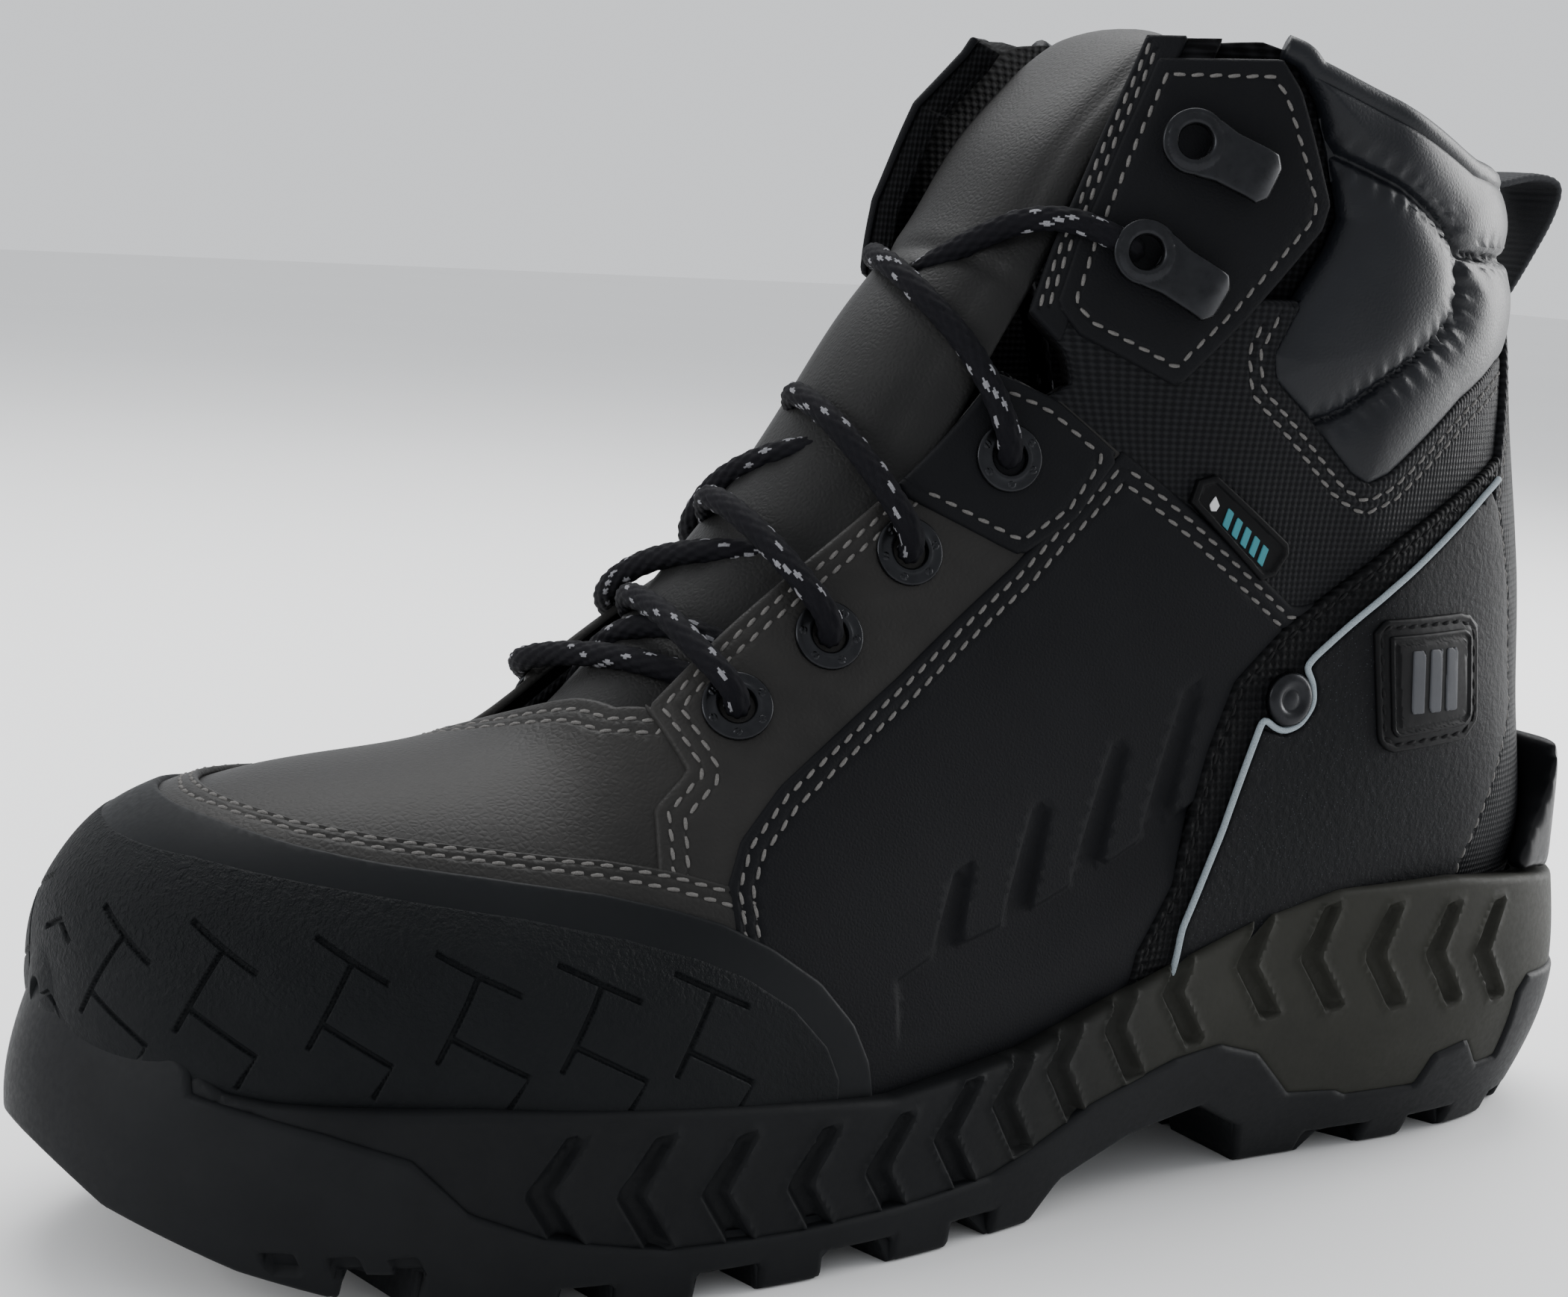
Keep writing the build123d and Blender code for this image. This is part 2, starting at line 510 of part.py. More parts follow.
# The sole cups the upper, with the toe bumper and the heel's overlays lasted in under it.
sole = biggest(sole_form(0) - outer - (overlay & bumper_zone) - (overlay & heel_zone))
sidewall = sole_form(0) - sole_form(CHEVRON_DEPTH)
chevrons = Compound([
    side_prism(widened([(x, z), (x + 6.5, z - 9), (x - 0.5, z - 19)], CHEVRON_WIDTH / 2))
    for x, z in CHEVRON_TOPS])
foam = sole & side_prism(below(MIDSOLE_TOP)) & side_prism(above(RUBBER_TOP))
shank_zone = side_prism(SHANK_SIDE, -SHANK_HALF_WIDTH, SHANK_HALF_WIDTH)
foam = biggest(foam) - shank_zone - (sidewall & chevrons)
keep("midsole", biggest(foam))
keep("shank", biggest(shank_zone - outer - (overlay & heel_zone)))
rubber = sole & side_prism(below(RUBBER_TOP)) & side_prism(below(MIDSOLE_TOP))
rubber = biggest(rubber & side_prism(above(GROUND_LINE))) - shank_zone
gaps = [plan_prism(gap_outline(front, back, 50), -1, TREAD_DEPTH + (4 if front > 110 else 0))
        for front, back in FOREFOOT_GAPS]
gaps += [plan_prism(gap_outline(front, back, 30), -1, TREAD_DEPTH) for front, back in HEEL_GAPS]
sipes = [plan_prism([(-12, y - 1.5), (122, y - 1.5), (122, y + 1.5), (-12, y + 1.5)], -1,
                    SIPE_DEPTH)
         for y in (-19, 19)]
sipes += [plan_prism([(-150, y - 1.5), (-60, y - 1.5), (-60, y + 1.5), (-150, y + 1.5)], -1,
                     SIPE_DEPTH)
          for y in (-11, 11)]
for channel in gaps + sipes:
    rubber = rubber - channel
keep("outsole", biggest(rubber))
ledge = plan_prism(drawn_in(SOLE_WIDEST, 0, 1.5), 48, 80) & side_prism(KICK_LEDGE)
ledge = ledge & side_prism(above(MIDSOLE_TOP))
keep("heel_kick_ledge", biggest(ledge - overlay))

# ---------------------------------------------------------------- the tongue
tongue_face = foot_form(TONGUE_GAP, TONGUE_SIDE)
tongue_back = foot_form(TONGUE_GAP + TONGUE_THICK, TONGUE_SIDE + 4)
strip = side_prism(TONGUE_ZONE, -GUSSET_TO, GUSSET_TO)
tongue_pad = (tongue_face - tongue_back) & strip
keep("tongue", biggest(tongue_pad & side_prism(below(TONGUE_SEAM))))
upper_pad = tongue_pad & side_prism(above(TONGUE_SEAM))
keep("tongue_upper", biggest(upper_pad & side_prism(below(TONGUE_FOLD), -30, 26)))
bay = (cavity - tongue_face) & strip & side_prism(below(TONGUE_SEAM))
under_vamp = side_prism(UNDER_VAMP, -24, 19)
keep("tongue_seam", biggest((cavity - tongue_face) & under_vamp))
keep("gusset_lateral", biggest(bay & side_prism(GUSSET_SIDE, GUSSET_FROM, GUSSET_TO)))
keep("gusset_medial", biggest(bay & side_prism(GUSSET_SIDE, -GUSSET_TO, -GUSSET_FROM)))
keep("tongue_top", side_prism(TONGUE_TOP, TONGUE_TOP_MEDIAL, TONGUE_TOP_LATERAL))

# ---------------------------------------------------------------- lace hardware
for side in OUTWARD:
    washers = []
    for number, (point, normal) in enumerate(eyelet_seats[side]):
        # The top eyelet of each row stands on its patch.
        seat = SEAT_GAP + (OVERLAY if number == 3 else 0)
        flange = disc(point, normal, EYELET_FLANGE, seat, seat + EYELET_RIM)
        barrel = disc(point, normal, EYELET_BARREL, -LEATHER - LINING - 0.4, seat + EYELET_RIM)
        bore = disc(point, normal, EYELET_HOLE, -DRILL_IN, DRILL_OUT)
        washers.append(biggest(flange + barrel - bore))
    keep("eyelets_" + side, *washers)
    hooks = []
    for (ring, normal), (tail, tail_normal) in hook_seats[side]:
        along = (tail - ring) - normal * (tail - ring).dot(normal)
        frame = Plane(origin=ring + normal * (OVERLAY + HOOK_LIFT), x_dir=along, z_dir=normal)
        corner = (Align.MIN, Align.CENTER, Align.MIN)
        head = Solid.make_cylinder(HOOK_RING, HOOK_THICK, frame)
        arm = frame.location * Box(along.length, HOOK_ARM, HOOK_THICK, align=corner)
        foot = Box(HOOK_FOOT, HOOK_ARM - 2.5, HOOK_LIFT + 1.5, align=corner)
        foot = frame.location * Pos(along.length - HOOK_FOOT, 0, -HOOK_LIFT - 1.5) * foot
        bore = disc(ring, normal, HOOK_HOLE, 0, 12)
        hooks.append(biggest((head + arm + foot) - bore - overlay))
    keep("lace_hooks_" + side, *hooks)
    point, normal = on_side(outer, *HEEL_RIVET, side)
    head = disc(point, normal, RIVET_HEAD, OVERLAY + 0.1, OVERLAY + 1.4)
    stem = disc(point, normal, RIVET_STEM, -LEATHER - 0.2, OVERLAY + 0.2)
    keep("heel_rivet_" + side, head + stem)

# ---------------------------------------------------------------- the pull loop
loop_band = side_prism(LOOP_OUTSIDE, -WEBBING_WIDTH / 2, WEBBING_WIDTH / 2)
loop_band = loop_band - side_prism(LOOP_INSIDE)
keep("pull_loop", biggest(loop_band))
tabs = []
for outline in LOOP_TABS:
    tabs.append(biggest(side_prism(outline, -WEBBING_WIDTH / 2, WEBBING_WIDTH / 2) - outer - skin))
keep("pull_loop_tabs", *tabs)

# ---------------------------------------------------------------- the lace
# The throat is counted in cross sections (t). Heights of the lace over or under the surface.
OVER_EDGE = -2.9
UNDER_EDGE = LEATHER + LINING + 2.5
OVER_TONGUE = TONGUE_GAP - LACE_R - 0.1
CROSS_OVER = OVER_TONGUE - 2 * LACE_R - 0.4
LACE_OUT = 5.6
LACE_IN = LEATHER + LINING + 3.0


def over(t, side):
    """Over a lace flap's edge."""
    return throat_point(t, THROAT_LATERAL if side == "lateral" else THROAT_MEDIAL, OVER_EDGE)


def under(t, side):
    """Under a lace flap's edge."""
    return throat_point(t, THROAT_LATERAL if side == "lateral" else THROAT_MEDIAL, UNDER_EDGE)


def through(seat, inward):
    """In or out through an eyelet or a hook's ring."""
    point, normal = seat
    outside, inside = point + normal * LACE_OUT, point - normal * LACE_IN
    return [outside, inside] if inward else [inside, outside]


n1, n2, n3, n4 = eyelet_seats["lateral"]
f1, f2, f3, f4 = eyelet_seats["medial"]
hook_n, hook_f = hook_seats["lateral"][0][0], hook_seats["medial"][0][0]
lace_route = [
    *through(hook_n, False),
    over(14.5, "lateral"),
    throat_point(13.5, 8, OVER_TONGUE - 1),
    throat_point(12.3, -12, OVER_TONGUE - 2.5),
    over(11.5, "medial"),
    *through(f4, True),
    throat_point(11.3, -8, CROSS_OVER + 1),
    throat_point(11.1, 10, CROSS_OVER - 0.5),
    over(10.9, "lateral"),
    *through(n3, True),
    throat_point(9.7, 8, OVER_TONGUE),
    throat_point(9.4, -12, OVER_TONGUE - 3),
    over(9.1, "medial"),
    *through(f2, True),
    throat_point(8.95, -8, CROSS_OVER + 1),
    throat_point(8.82, 12, CROSS_OVER - 1.5),
    over(8.72, "lateral"),
    *through(n1, True),
    under(8.85, "lateral"),
    throat_point(8.5, 8, OVER_TONGUE - 0.5),
    throat_point(8.25, -12, OVER_TONGUE - 3.5),
    over(8.05, "medial"),
    *through(f1, True),
    throat_point(8.62, -10, OVER_TONGUE),
    throat_point(8.95, 8, OVER_TONGUE),
    under(9.22, "lateral"),
    *through(n2, False),
    over(9.8, "lateral"),
    throat_point(9.9, 8, CROSS_OVER - 0.5),
    throat_point(10.0, -8, CROSS_OVER + 1),
    *through(f3, False),
    over(10.05, "medial"),
    throat_point(10.4, -12, OVER_TONGUE - 3),
    throat_point(10.9, 8, OVER_TONGUE),
    *through(n4, False),
    over(12.5, "lateral"),
    throat_point(12.85, 8, CROSS_OVER - 0.5),
    throat_point(13.2, -10, CROSS_OVER - 1),
    over(13.6, "medial"),
    *through(hook_f, True),
]
keep("lace", tube(lace_route, LACE_R))

# The two free ends hang inside the shaft and lie on the footbed, with a tip on each.
LACE_END_RUNS = {
    "lateral": [(-36, 19, 163), (-42, 23, 147), (-46, 26, 124), (-48, 27, 99), (-47, 26, 76),
                (-40, 23, 56), (-25, 20, 43.5), (-4, 17, 38.2), (18, 13, 35), (40, 10, 33.6)],
    "medial": [(-37, -19, 161), (-44, -22, 145), (-50, -25, 122), (-53, -26, 98), (-52, -25, 75),
               (-44, -21, 56), (-28, -18, 44.5), (-6, -17, 38.8), (16, -13, 35.2), (37, -6, 33.6)],
}
TIP_LENGTH = 22.0
TIP_R = 1.7
for side, seat in (("lateral", hook_n), ("medial", hook_f)):
    start = through(seat, True)[1]
    runs = [start, start - seat[1] * 6, *[Vector(*p) for p in LACE_END_RUNS[side]]]
    keep("lace_end_" + side, tube(runs, LACE_R))
    heading = (runs[-1] - runs[-2]).normalized()
    keep("lace_tip_" + side, Solid.make_cylinder(TIP_R, TIP_LENGTH, Plane(runs[-1], z_dir=heading)))

for name, solids in parts.items():
    moved = [s.moved(Location(PLACE)) for s in solids]
    shape = moved[0] if len(moved) == 1 else Compound(moved)
    export_step(shape, "parts/" + name + ".step")
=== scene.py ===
from math import cos, hypot, pi, radians, sin, sqrt
import bmesh
import bpy
import numpy as np
from mathutils import Matrix, Vector
from mathutils.bvhtree import BVHTree


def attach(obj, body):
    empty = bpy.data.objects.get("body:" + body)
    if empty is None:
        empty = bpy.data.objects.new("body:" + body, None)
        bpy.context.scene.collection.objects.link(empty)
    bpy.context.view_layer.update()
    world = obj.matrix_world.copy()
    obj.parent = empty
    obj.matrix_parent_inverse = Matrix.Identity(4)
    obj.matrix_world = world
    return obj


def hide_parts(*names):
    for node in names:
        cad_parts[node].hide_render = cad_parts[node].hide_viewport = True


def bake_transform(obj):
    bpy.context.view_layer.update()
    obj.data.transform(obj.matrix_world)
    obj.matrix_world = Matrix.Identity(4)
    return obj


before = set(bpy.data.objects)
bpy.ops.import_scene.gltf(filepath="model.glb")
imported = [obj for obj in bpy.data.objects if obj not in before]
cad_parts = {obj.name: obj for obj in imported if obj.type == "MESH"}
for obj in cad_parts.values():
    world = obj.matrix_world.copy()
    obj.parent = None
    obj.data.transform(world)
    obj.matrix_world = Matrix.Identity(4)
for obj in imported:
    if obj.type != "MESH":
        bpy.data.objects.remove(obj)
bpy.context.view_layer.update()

# A left safety work boot. Everything below is worked out in millimetres in the boot's own
# drawing space (+X toe, +Y lateral side, +Z up), and `placed` puts it in the frame, in metres.
MM = 0.001
PLACE = np.array([1.0, -2.0, 0.0])
SIDES = {"lateral": 1.0, "medial": -1.0}


def placed(points):
    return (np.asarray(points, float) + PLACE) * MM


# ---------------------------------------------------------------- camera
CAMERA_AIM = (22.93, 0.0, 95.65)
CAMERA_DISTANCE = 0.494           # metres from the aim to the camera
CAMERA_AZIMUTH, CAMERA_ELEVATION, CAMERA_ROLL = radians(149.17), radians(9.46), 0.062


def make_camera():
    flat = cos(CAMERA_ELEVATION)
    back = Vector((sin(CAMERA_AZIMUTH) * flat, -cos(CAMERA_AZIMUTH) * flat, sin(CAMERA_ELEVATION)))
    right = (-back).cross(Vector((0, 0, 1))).normalized()
    up = right.cross(-back)
    tilted_right = right * cos(CAMERA_ROLL) + up * sin(CAMERA_ROLL)
    tilted_up = up * cos(CAMERA_ROLL) - right * sin(CAMERA_ROLL)
    place = [aim + way * CAMERA_DISTANCE for aim, way in zip(Vector(placed(CAMERA_AIM)), back)]
    camera = bpy.data.objects.new("camera", bpy.data.cameras.new("camera"))
    bpy.context.scene.collection.objects.link(camera)
    camera.matrix_world = Matrix([*zip(tilted_right, tilted_up, back, place), (0, 0, 0, 1)])
    camera.data.sensor_width = 36.0
    camera.data.lens = 64.0
    camera.data.clip_start = 0.02
    bpy.context.scene.camera = camera


make_camera()

# ---------------------------------------------------------------- the upper's own surface
# Cross sections of the upper, toe to collar: top point (x, z), bottom point (x, z), centre y,
# lateral and medial half widths, where it is widest, top and bottom powers.
SECTIONS = [
    (150.5, 50, 150.5, 36, -7, 7, 7, .55, 2, 2),
    (149, 57, 149, 34.5, -7, 15, 15, .6, 2.1, 2.3),
    (145, 64, 145, 32, -6, 23, 23, .65, 2.2, 2.8),
    (138, 70.5, 138, 29.5, -5, 31, 31, .68, 2.3, 3.2),
    (127, 75.5, 127, 26.5, -3.5, 38.5, 37.5, .7, 2.3, 3.8),
    (110, 79.3, 110, 23, -1.5, 44.5, 43, .7, 2.3, 4.5),
    (91, 81.8, 90, 20, 0, 49, 46, .7, 2.2, 5),
    (77, 86, 66, 18, 0, 51, 46, .7, 2.1, 5),
    (66, 96, 38, 18.5, 0, 50, 44, .72, 2.1, 5),
    (54, 111, 8, 21.5, 0, 46.5, 40.5, .74, 2.1, 4.5),
    (41, 127, -28, 27, 0, 42, 37.5, .74, 2.1, 4),
    (29, 142, -68, 32, 0, 39, 36, .7, 2.1, 3.6),
    (19, 155, -110, 33.5, 0, 38, 36, .62, 2.1, 3.2),
    (10, 167, -142, 44, 0, 38, 37, .55, 2.1, 2.5),
    (2, 177, -143, 75, 0, 39, 38, .5, 2.1, 2.2),
    (-5, 186, -139.5, 103, 0, 40, 39, .48, 2.1, 2.1),
    (-11, 194, -132, 132, 0, 41, 40, .48, 2.1, 2.1),
    (-17, 202, -126, 160, 0, 42, 41, .48, 2.1, 2.1),
    (-22, 209, -121, 186, 0, 43, 42, .48, 2.1, 2.1),
    (-30, 222, -116, 212, 0, 44, 43, .48, 2.1, 2.1),
]
RING_KNOTS = 20
MIDDLE_SECTION = 9                # the section whose knots space the surface's columns
TOE_TIP = (151.6, -7.0, 43.0)     # closes the rounded toe in front of the first section
LINING_DEPTH = 4.4                # from the outer surface in to the lining's face
TOE_RINGS = (0.12, 0.4, 0.7, 0.9)  # how far out from the tip the rings of the toe lie
SPACING, GIRTH = 1.7, 300.0       # of the surface's net, and the length that its columns divide
SIDE_SHRINK = 0.5625              # how much narrower a section gets for each millimetre of depth
OUTER_Y = 90.0                    # well clear of both sides
THROAT_Y = {"lateral": 23.5, "medial": -25.0}
ROUND_FROM = 100.0
ROUND_RADIUS = 50.0
ROUND_CENTRE_Y = -2.0


def spline_weights(knots, at, period=None):
    """Weights that turn values at the knots into a smooth cubic curve's values at `at`."""
    knots = np.asarray(knots, float)
    count = len(knots)
    step = np.diff(np.append(knots, knots[0] + period)) if period else np.diff(knots)
    system, right = np.zeros((count, count)), np.zeros((count, count))
    for i in range(count):
        if not period and i in (0, count - 1):
            system[i, i] = 1.0
            continue
        h0, h1 = step[i - 1], step[i]
        before, after = (i - 1) % count, (i + 1) % count
        system[i, before] += h0
        system[i, i] += 2 * (h0 + h1)
        system[i, after] += h1
        right[i, before] += 6 / h0
        right[i, i] -= 6 / h0 + 6 / h1
        right[i, after] += 6 / h1
    bend = np.linalg.solve(system, right)
    low = np.clip(np.searchsorted(knots, at, side="right") - 1, 0, len(step) - 1)
    high = (low + 1) % count
    h = step[low][:, None]
    b = (np.asarray(at)[:, None] - knots[low][:, None]) / h
    a = 1 - b
    eye = np.eye(count)
    return (a * eye[low] + b * eye[high]
            + ((a ** 3 - a) * bend[low] + (b ** 3 - b) * bend[high]) * h * h / 6)


def section_ring(section):
    """Knots round one cross section, from the top line by the lateral side and back."""
    top_x, top_z, low_x, low_z, mid_y, lateral, medial, widest, p, q = section
    length = hypot(low_x - top_x, low_z - top_z)
    middle = length * widest
    ring = []
    for i in range(RING_KNOTS):
        angle = -pi / 2 + 2 * pi * i / RING_KNOTS
        s, c = sin(angle), cos(angle)
        reach, power = (-middle, 2 / p) if s < 0 else (length - middle, 2 / q)
        a = (middle + reach * abs(s) ** power) / length
        b = (lateral if c > 0 else -medial) * (abs(c) if abs(c) > 1e-9 else 0) ** power
        ring.append((top_x + (low_x - top_x) * a, mid_y + b, top_z + (low_z - top_z) * a))
    return np.array(ring)


def distances_along(points):
    """The distance of every point from the first, along the line that they make."""
    steps = np.linalg.norm(np.diff(points, axis=0), axis=1)
    return np.concatenate([[0], np.cumsum(steps)])


def points_at(places, reach, values):
    return np.stack([np.interp(places, reach, values[:, k]) for k in range(3)], axis=1)


def directions(line):
    slope = np.gradient(line, axis=0)
    return slope / np.linalg.norm(slope, axis=1, keepdims=True)


def chord_shares(points):
    steps = np.linalg.norm(np.roll(points, -1, axis=0) - points, axis=1)
    return np.concatenate([[0], np.cumsum(steps)[:-1]]) / steps.sum()


class Sheet:
    """A triangulated surface with a table of values at every vertex."""

    def __init__(self, table, triangles):
        self.table, self.triangles = table, triangles

    @property
    def points(self):
        return self.table[:, 0:3]

    @property
    def normals(self):
        return self.table[:, 3:6]

    def plus(self, values):
        """The same surface with one more column of values."""
        return Sheet(np.column_stack([self.table, values]), self.triangles)

    def only(self, values):
        """The same surface with these values alone."""
        return Sheet(np.column_stack([self.table[:, :6], values]), self.triangles)

    def turned_over(self):
        self.table[:, 3:6] *= -1
        self.triangles = self.triangles[:, ::-1].copy()
        return self

    def facing_out(self):
        """The same surface, with its normals away from the middle plane."""
        inward = (self.normals[:, 1] * self.points[:, 1]).mean() < 0
        return self.turned_over() if inward else self

    def used(self):
        """Only the vertices that some triangle uses."""
        kept, renumbered = np.unique(self.triangles, return_inverse=True)
        return Sheet(self.table[kept], renumbered.reshape(-1, 3))

    def finer(self):
        """Every triangle cut into four."""
        count = len(self.table)
        tri = self.triangles
        first = np.concatenate([tri[:, 0], tri[:, 1], tri[:, 2]])
        second = np.concatenate([tri[:, 1], tri[:, 2], tri[:, 0]])
        low, high = np.minimum(first, second), np.maximum(first, second)
        keys, place = np.unique(low * count + high, return_inverse=True)
        extra = (self.table[keys // count] + self.table[keys % count]) / 2
        extra[:, 3:6] /= np.linalg.norm(extra[:, 3:6], axis=1, keepdims=True)
        ab, bc, ca = (count + place).reshape(3, -1)
        a, b, c = tri.T
        made = [np.stack(t, 1) for t in ((a, ab, ca), (ab, b, bc), (ca, bc, c), (ab, bc, ca))]
        return Sheet(np.vstack([self.table, extra]), np.concatenate(made))

    def where(self, column, level):
        """The part where a value is at least a level, cut exactly along it."""
        sheet = self.split(column, level)
        value = sheet.table[:, column] - level
        inside = (value[sheet.triangles] > -1e-6).all(axis=1)
        return Sheet(sheet.table, sheet.triangles[inside]).used()

    def split(self, column, level):
        """Splits the triangles that a value crosses, so that mesh edges run along its level."""
        value = self.table[:, column] - level
        value[np.abs(value) < 0.02] = 0.0
        table = self.table.copy()
        table[:, column] = value + level
        sign = np.sign(value)
        tri = self.triangles
        signs = sign[tri]
        crossing = np.stack([signs[:, i] * signs[:, (i + 1) % 3] < 0 for i in range(3)], axis=1)
        number = crossing.sum(axis=1)
        if not number.any():
            return Sheet(table, tri)
        first = np.concatenate([tri[crossing[:, i], i] for i in range(3)])
        second = np.concatenate([tri[crossing[:, i], (i + 1) % 3] for i in range(3)])
        low, high = np.minimum(first, second), np.maximum(first, second)
        keys, place = np.unique(low * (len(value) + 1) + high, return_inverse=True)
        low, high = keys // (len(value) + 1), keys % (len(value) + 1)
        share = (value[low] / (value[low] - value[high]))[:, None]
        extra = table[low] * (1 - share) + table[high] * share
        extra[:, 3:6] /= np.linalg.norm(extra[:, 3:6], axis=1, keepdims=True)
        extra[:, column] = level
        middle = np.full((len(tri), 3), -1)
        start = 0
        for i in range(3):
            rows = np.nonzero(crossing[:, i])[0]
            middle[rows, i] = len(table) + place[start:start + len(rows)]
            start += len(rows)
        made = [tri[number == 0]]
        for i in range(3):
            j, k = (i + 1) % 3, (i + 2) % 3
            one = (number == 1) & crossing[:, i]
            a, b, c, p = tri[one, i], tri[one, j], tri[one, k], middle[one, i]
            made += [np.stack([a, p, c], 1), np.stack([p, b, c], 1)]
            two = (number == 2) & crossing[:, i] & crossing[:, k]
            a, b, c, p, q = tri[two, i], tri[two, j], tri[two, k], middle[two, i], middle[two, k]
            made += [np.stack([a, p, q], 1), np.stack([p, b, c], 1), np.stack([p, c, q], 1)]
        return Sheet(np.vstack([table, extra]), np.concatenate(made))


def grid_sheet(grid, closed_rows):
    """A sheet on a grid of points, whose rows may close on themselves."""
    rows, columns = grid.shape[:2]
    if closed_rows:
        along = np.roll(grid, -1, axis=1) - np.roll(grid, 1, axis=1)
    else:
        along = np.gradient(grid, axis=1)
    normal = np.cross(along, np.gradient(grid, axis=0))
    normal /= np.maximum(np.linalg.norm(normal, axis=2, keepdims=True), 1e-9)
    ids = np.arange(rows * columns).reshape(rows, columns)
    last = columns if closed_rows else columns - 1
    a, b = ids[:-1, :last], np.roll(ids, -1, axis=1)[:-1, :last]
    c, d = ids[1:, :last], np.roll(ids, -1, axis=1)[1:, :last]
    even = ((np.arange(rows - 1)[:, None] + np.arange(last)[None, :]) % 2 == 0).ravel()
    a, b, c, d = a.ravel(), b.ravel(), c.ravel(), d.ravel()
    tri = np.concatenate([
        np.stack([a, b, d], 1)[even], np.stack([a, d, c], 1)[even],
        np.stack([a, b, c], 1)[~even], np.stack([b, d, c], 1)[~even]])
    return Sheet(np.column_stack([grid.reshape(-1, 3), normal.reshape(-1, 3)]), tri)


# The medial flap stands forward of the throat: (height, front edge, how far it reaches). The
# reach grows over FLAP_DEPTH up to the front edge, and over FLAP_FADE from FLAP_Y outwards.
FLAP_EDGE = [(125, 8, 0), (150, -5, 8), (175, -15, 13), (193, -22.5, 12), (203, -27, 6), (210, -30, 4)]
FLAP_DEPTH = 32
FLAP_Y, FLAP_FADE = 14, 8


def eased(share):
    share = np.clip(share, 0, 1)
    return share * share * (3 - 2 * share)


def reach_flap(grid):
    """Draws the front of the medial flap forward, past the tongue's side."""
    heights, fronts, reaches = np.array(FLAP_EDGE, float).T
    front, reach = np.interp(grid[..., 2], heights, fronts), np.interp(grid[..., 2], heights, reaches)
    near = eased((grid[..., 0] - front + FLAP_DEPTH) / FLAP_DEPTH)
    grid[..., 0] += reach * near * eased((-grid[..., 1] - FLAP_Y) / FLAP_FADE)


def upper_surface():
    """The upper's outer surface as an even net, with its normals pointing out."""
    knots = np.array([section_ring(section) for section in SECTIONS])
    shares = chord_shares(knots[MIDDLE_SECTION])
    columns = int(GIRTH / SPACING)
    rings = np.einsum("cr,srk->sck", spline_weights(shares, np.arange(columns) / columns, 1.0), knots)
    gaps = np.linalg.norm(np.diff(rings, axis=0), axis=2)
    stations = np.concatenate([[0], np.cumsum(gaps.mean(axis=1))])
    at = [np.linspace(stations[i], stations[i + 1], int(gaps[i].max() / SPACING) + 1, endpoint=False)
          for i in range(len(gaps))]
    at = np.concatenate([*at, stations[-1:]])
    grid = np.einsum("as,sck->ack", spline_weights(stations, at), rings)
    reach_flap(grid)
    tip = np.array(TOE_TIP)
    nose = []
    for share in TOE_RINGS:
        ring = tip + (grid[0] - tip) * sqrt(share)
        ring[:, 0] = grid[0, :, 0] + (tip[0] - grid[0, :, 0]) * (1 - share)
        nose.append(ring)
    return grid_sheet(np.concatenate([np.array(nose), grid]), True).facing_out()


UPPER = upper_surface()
UPPER_TREE = BVHTree.FromPolygons([Vector(p) for p in UPPER.points], UPPER.triangles.tolist())


def on_side(x, z, side):
    """The point of the outer surface at (x, z) on one side, and the surface's normal there."""
    way = SIDES[side]
    point, normal, _, _ = UPPER_TREE.ray_cast(Vector((x, OUTER_Y * way, z)), Vector((0, -way, 0)))
    if normal.y * way < 0:
        normal = -normal
    return np.array(point), np.array(normal)


def throat_point(t, y, depth):
    """A point over the instep: t counts the sections, depth is in from the outer surface."""
    low = int(t)
    row = [a + (b - a) * (t - low) for a, b in zip(SECTIONS[low], SECTIONS[low + 1])]
    top_x, top_z, low_x, low_z, mid_y, lateral, medial, widest, p, _ = row
    length = hypot(low_x - top_x, low_z - top_z)
    middle = length * widest
    width = (lateral if y > 0 else medial) - depth * SIDE_SHRINK
    share = min(abs(y - mid_y) / width, 0.999)
    a = middle - (middle - depth) * (1 - share ** p) ** (1 / p)
    return np.array([top_x + (low_x - top_x) / length * a, y, top_z + (low_z - top_z) / length * a])


# ---------------------------------------------------------------- outlines, side view (x, z)
COLLAR_TOP = [(220, 206), (-28, 206), (-44, 206.5), (-51, 204), (-53, 201.5), (-69, 196),
              (-81, 191.7), (-94, 187), (-110, 185), (-200, 185)]
VAMP_EDGE = [(85, 240), (63, 92), (60, 83), (66.5, 77.5), (69, 65), (65, 40), (58, 5)]
EYESTAY_SEAM = [(-24, 240), (-24, 134.6), (-3, 115), (21, 97), (45.6, 80.6), (54, 72.7),
                (57.5, 66), (56, 5)]
ANKLE_SEAM = [(100, 239), (2.6, 148), (-11, 145), (-24, 134.6), (-39, 124), (-61, 107),
              (-86, 112), (-107, 120), (-125, 128), (-200, 133)]
NOTCH = [(12, 156), (-3, 147.5), (-11, 143.5), (-15, 146), (-14, 151), (-6, 160), (6, 166)]
COLLAR_PAD_EDGE = [(-45, 215), (-48.5, 204), (-54.5, 196), (-58.5, 188), (-62, 176.6), (-60, 171),
                   (-53.5, 160), (-50, 152.5), (-51, 147.5), (-60.3, 139.5), (-70, 130.6),
                   (-74, 128.6), (-79, 130.6), (-97, 144), (-110, 150.5), (-122, 153), (-200, 155)]
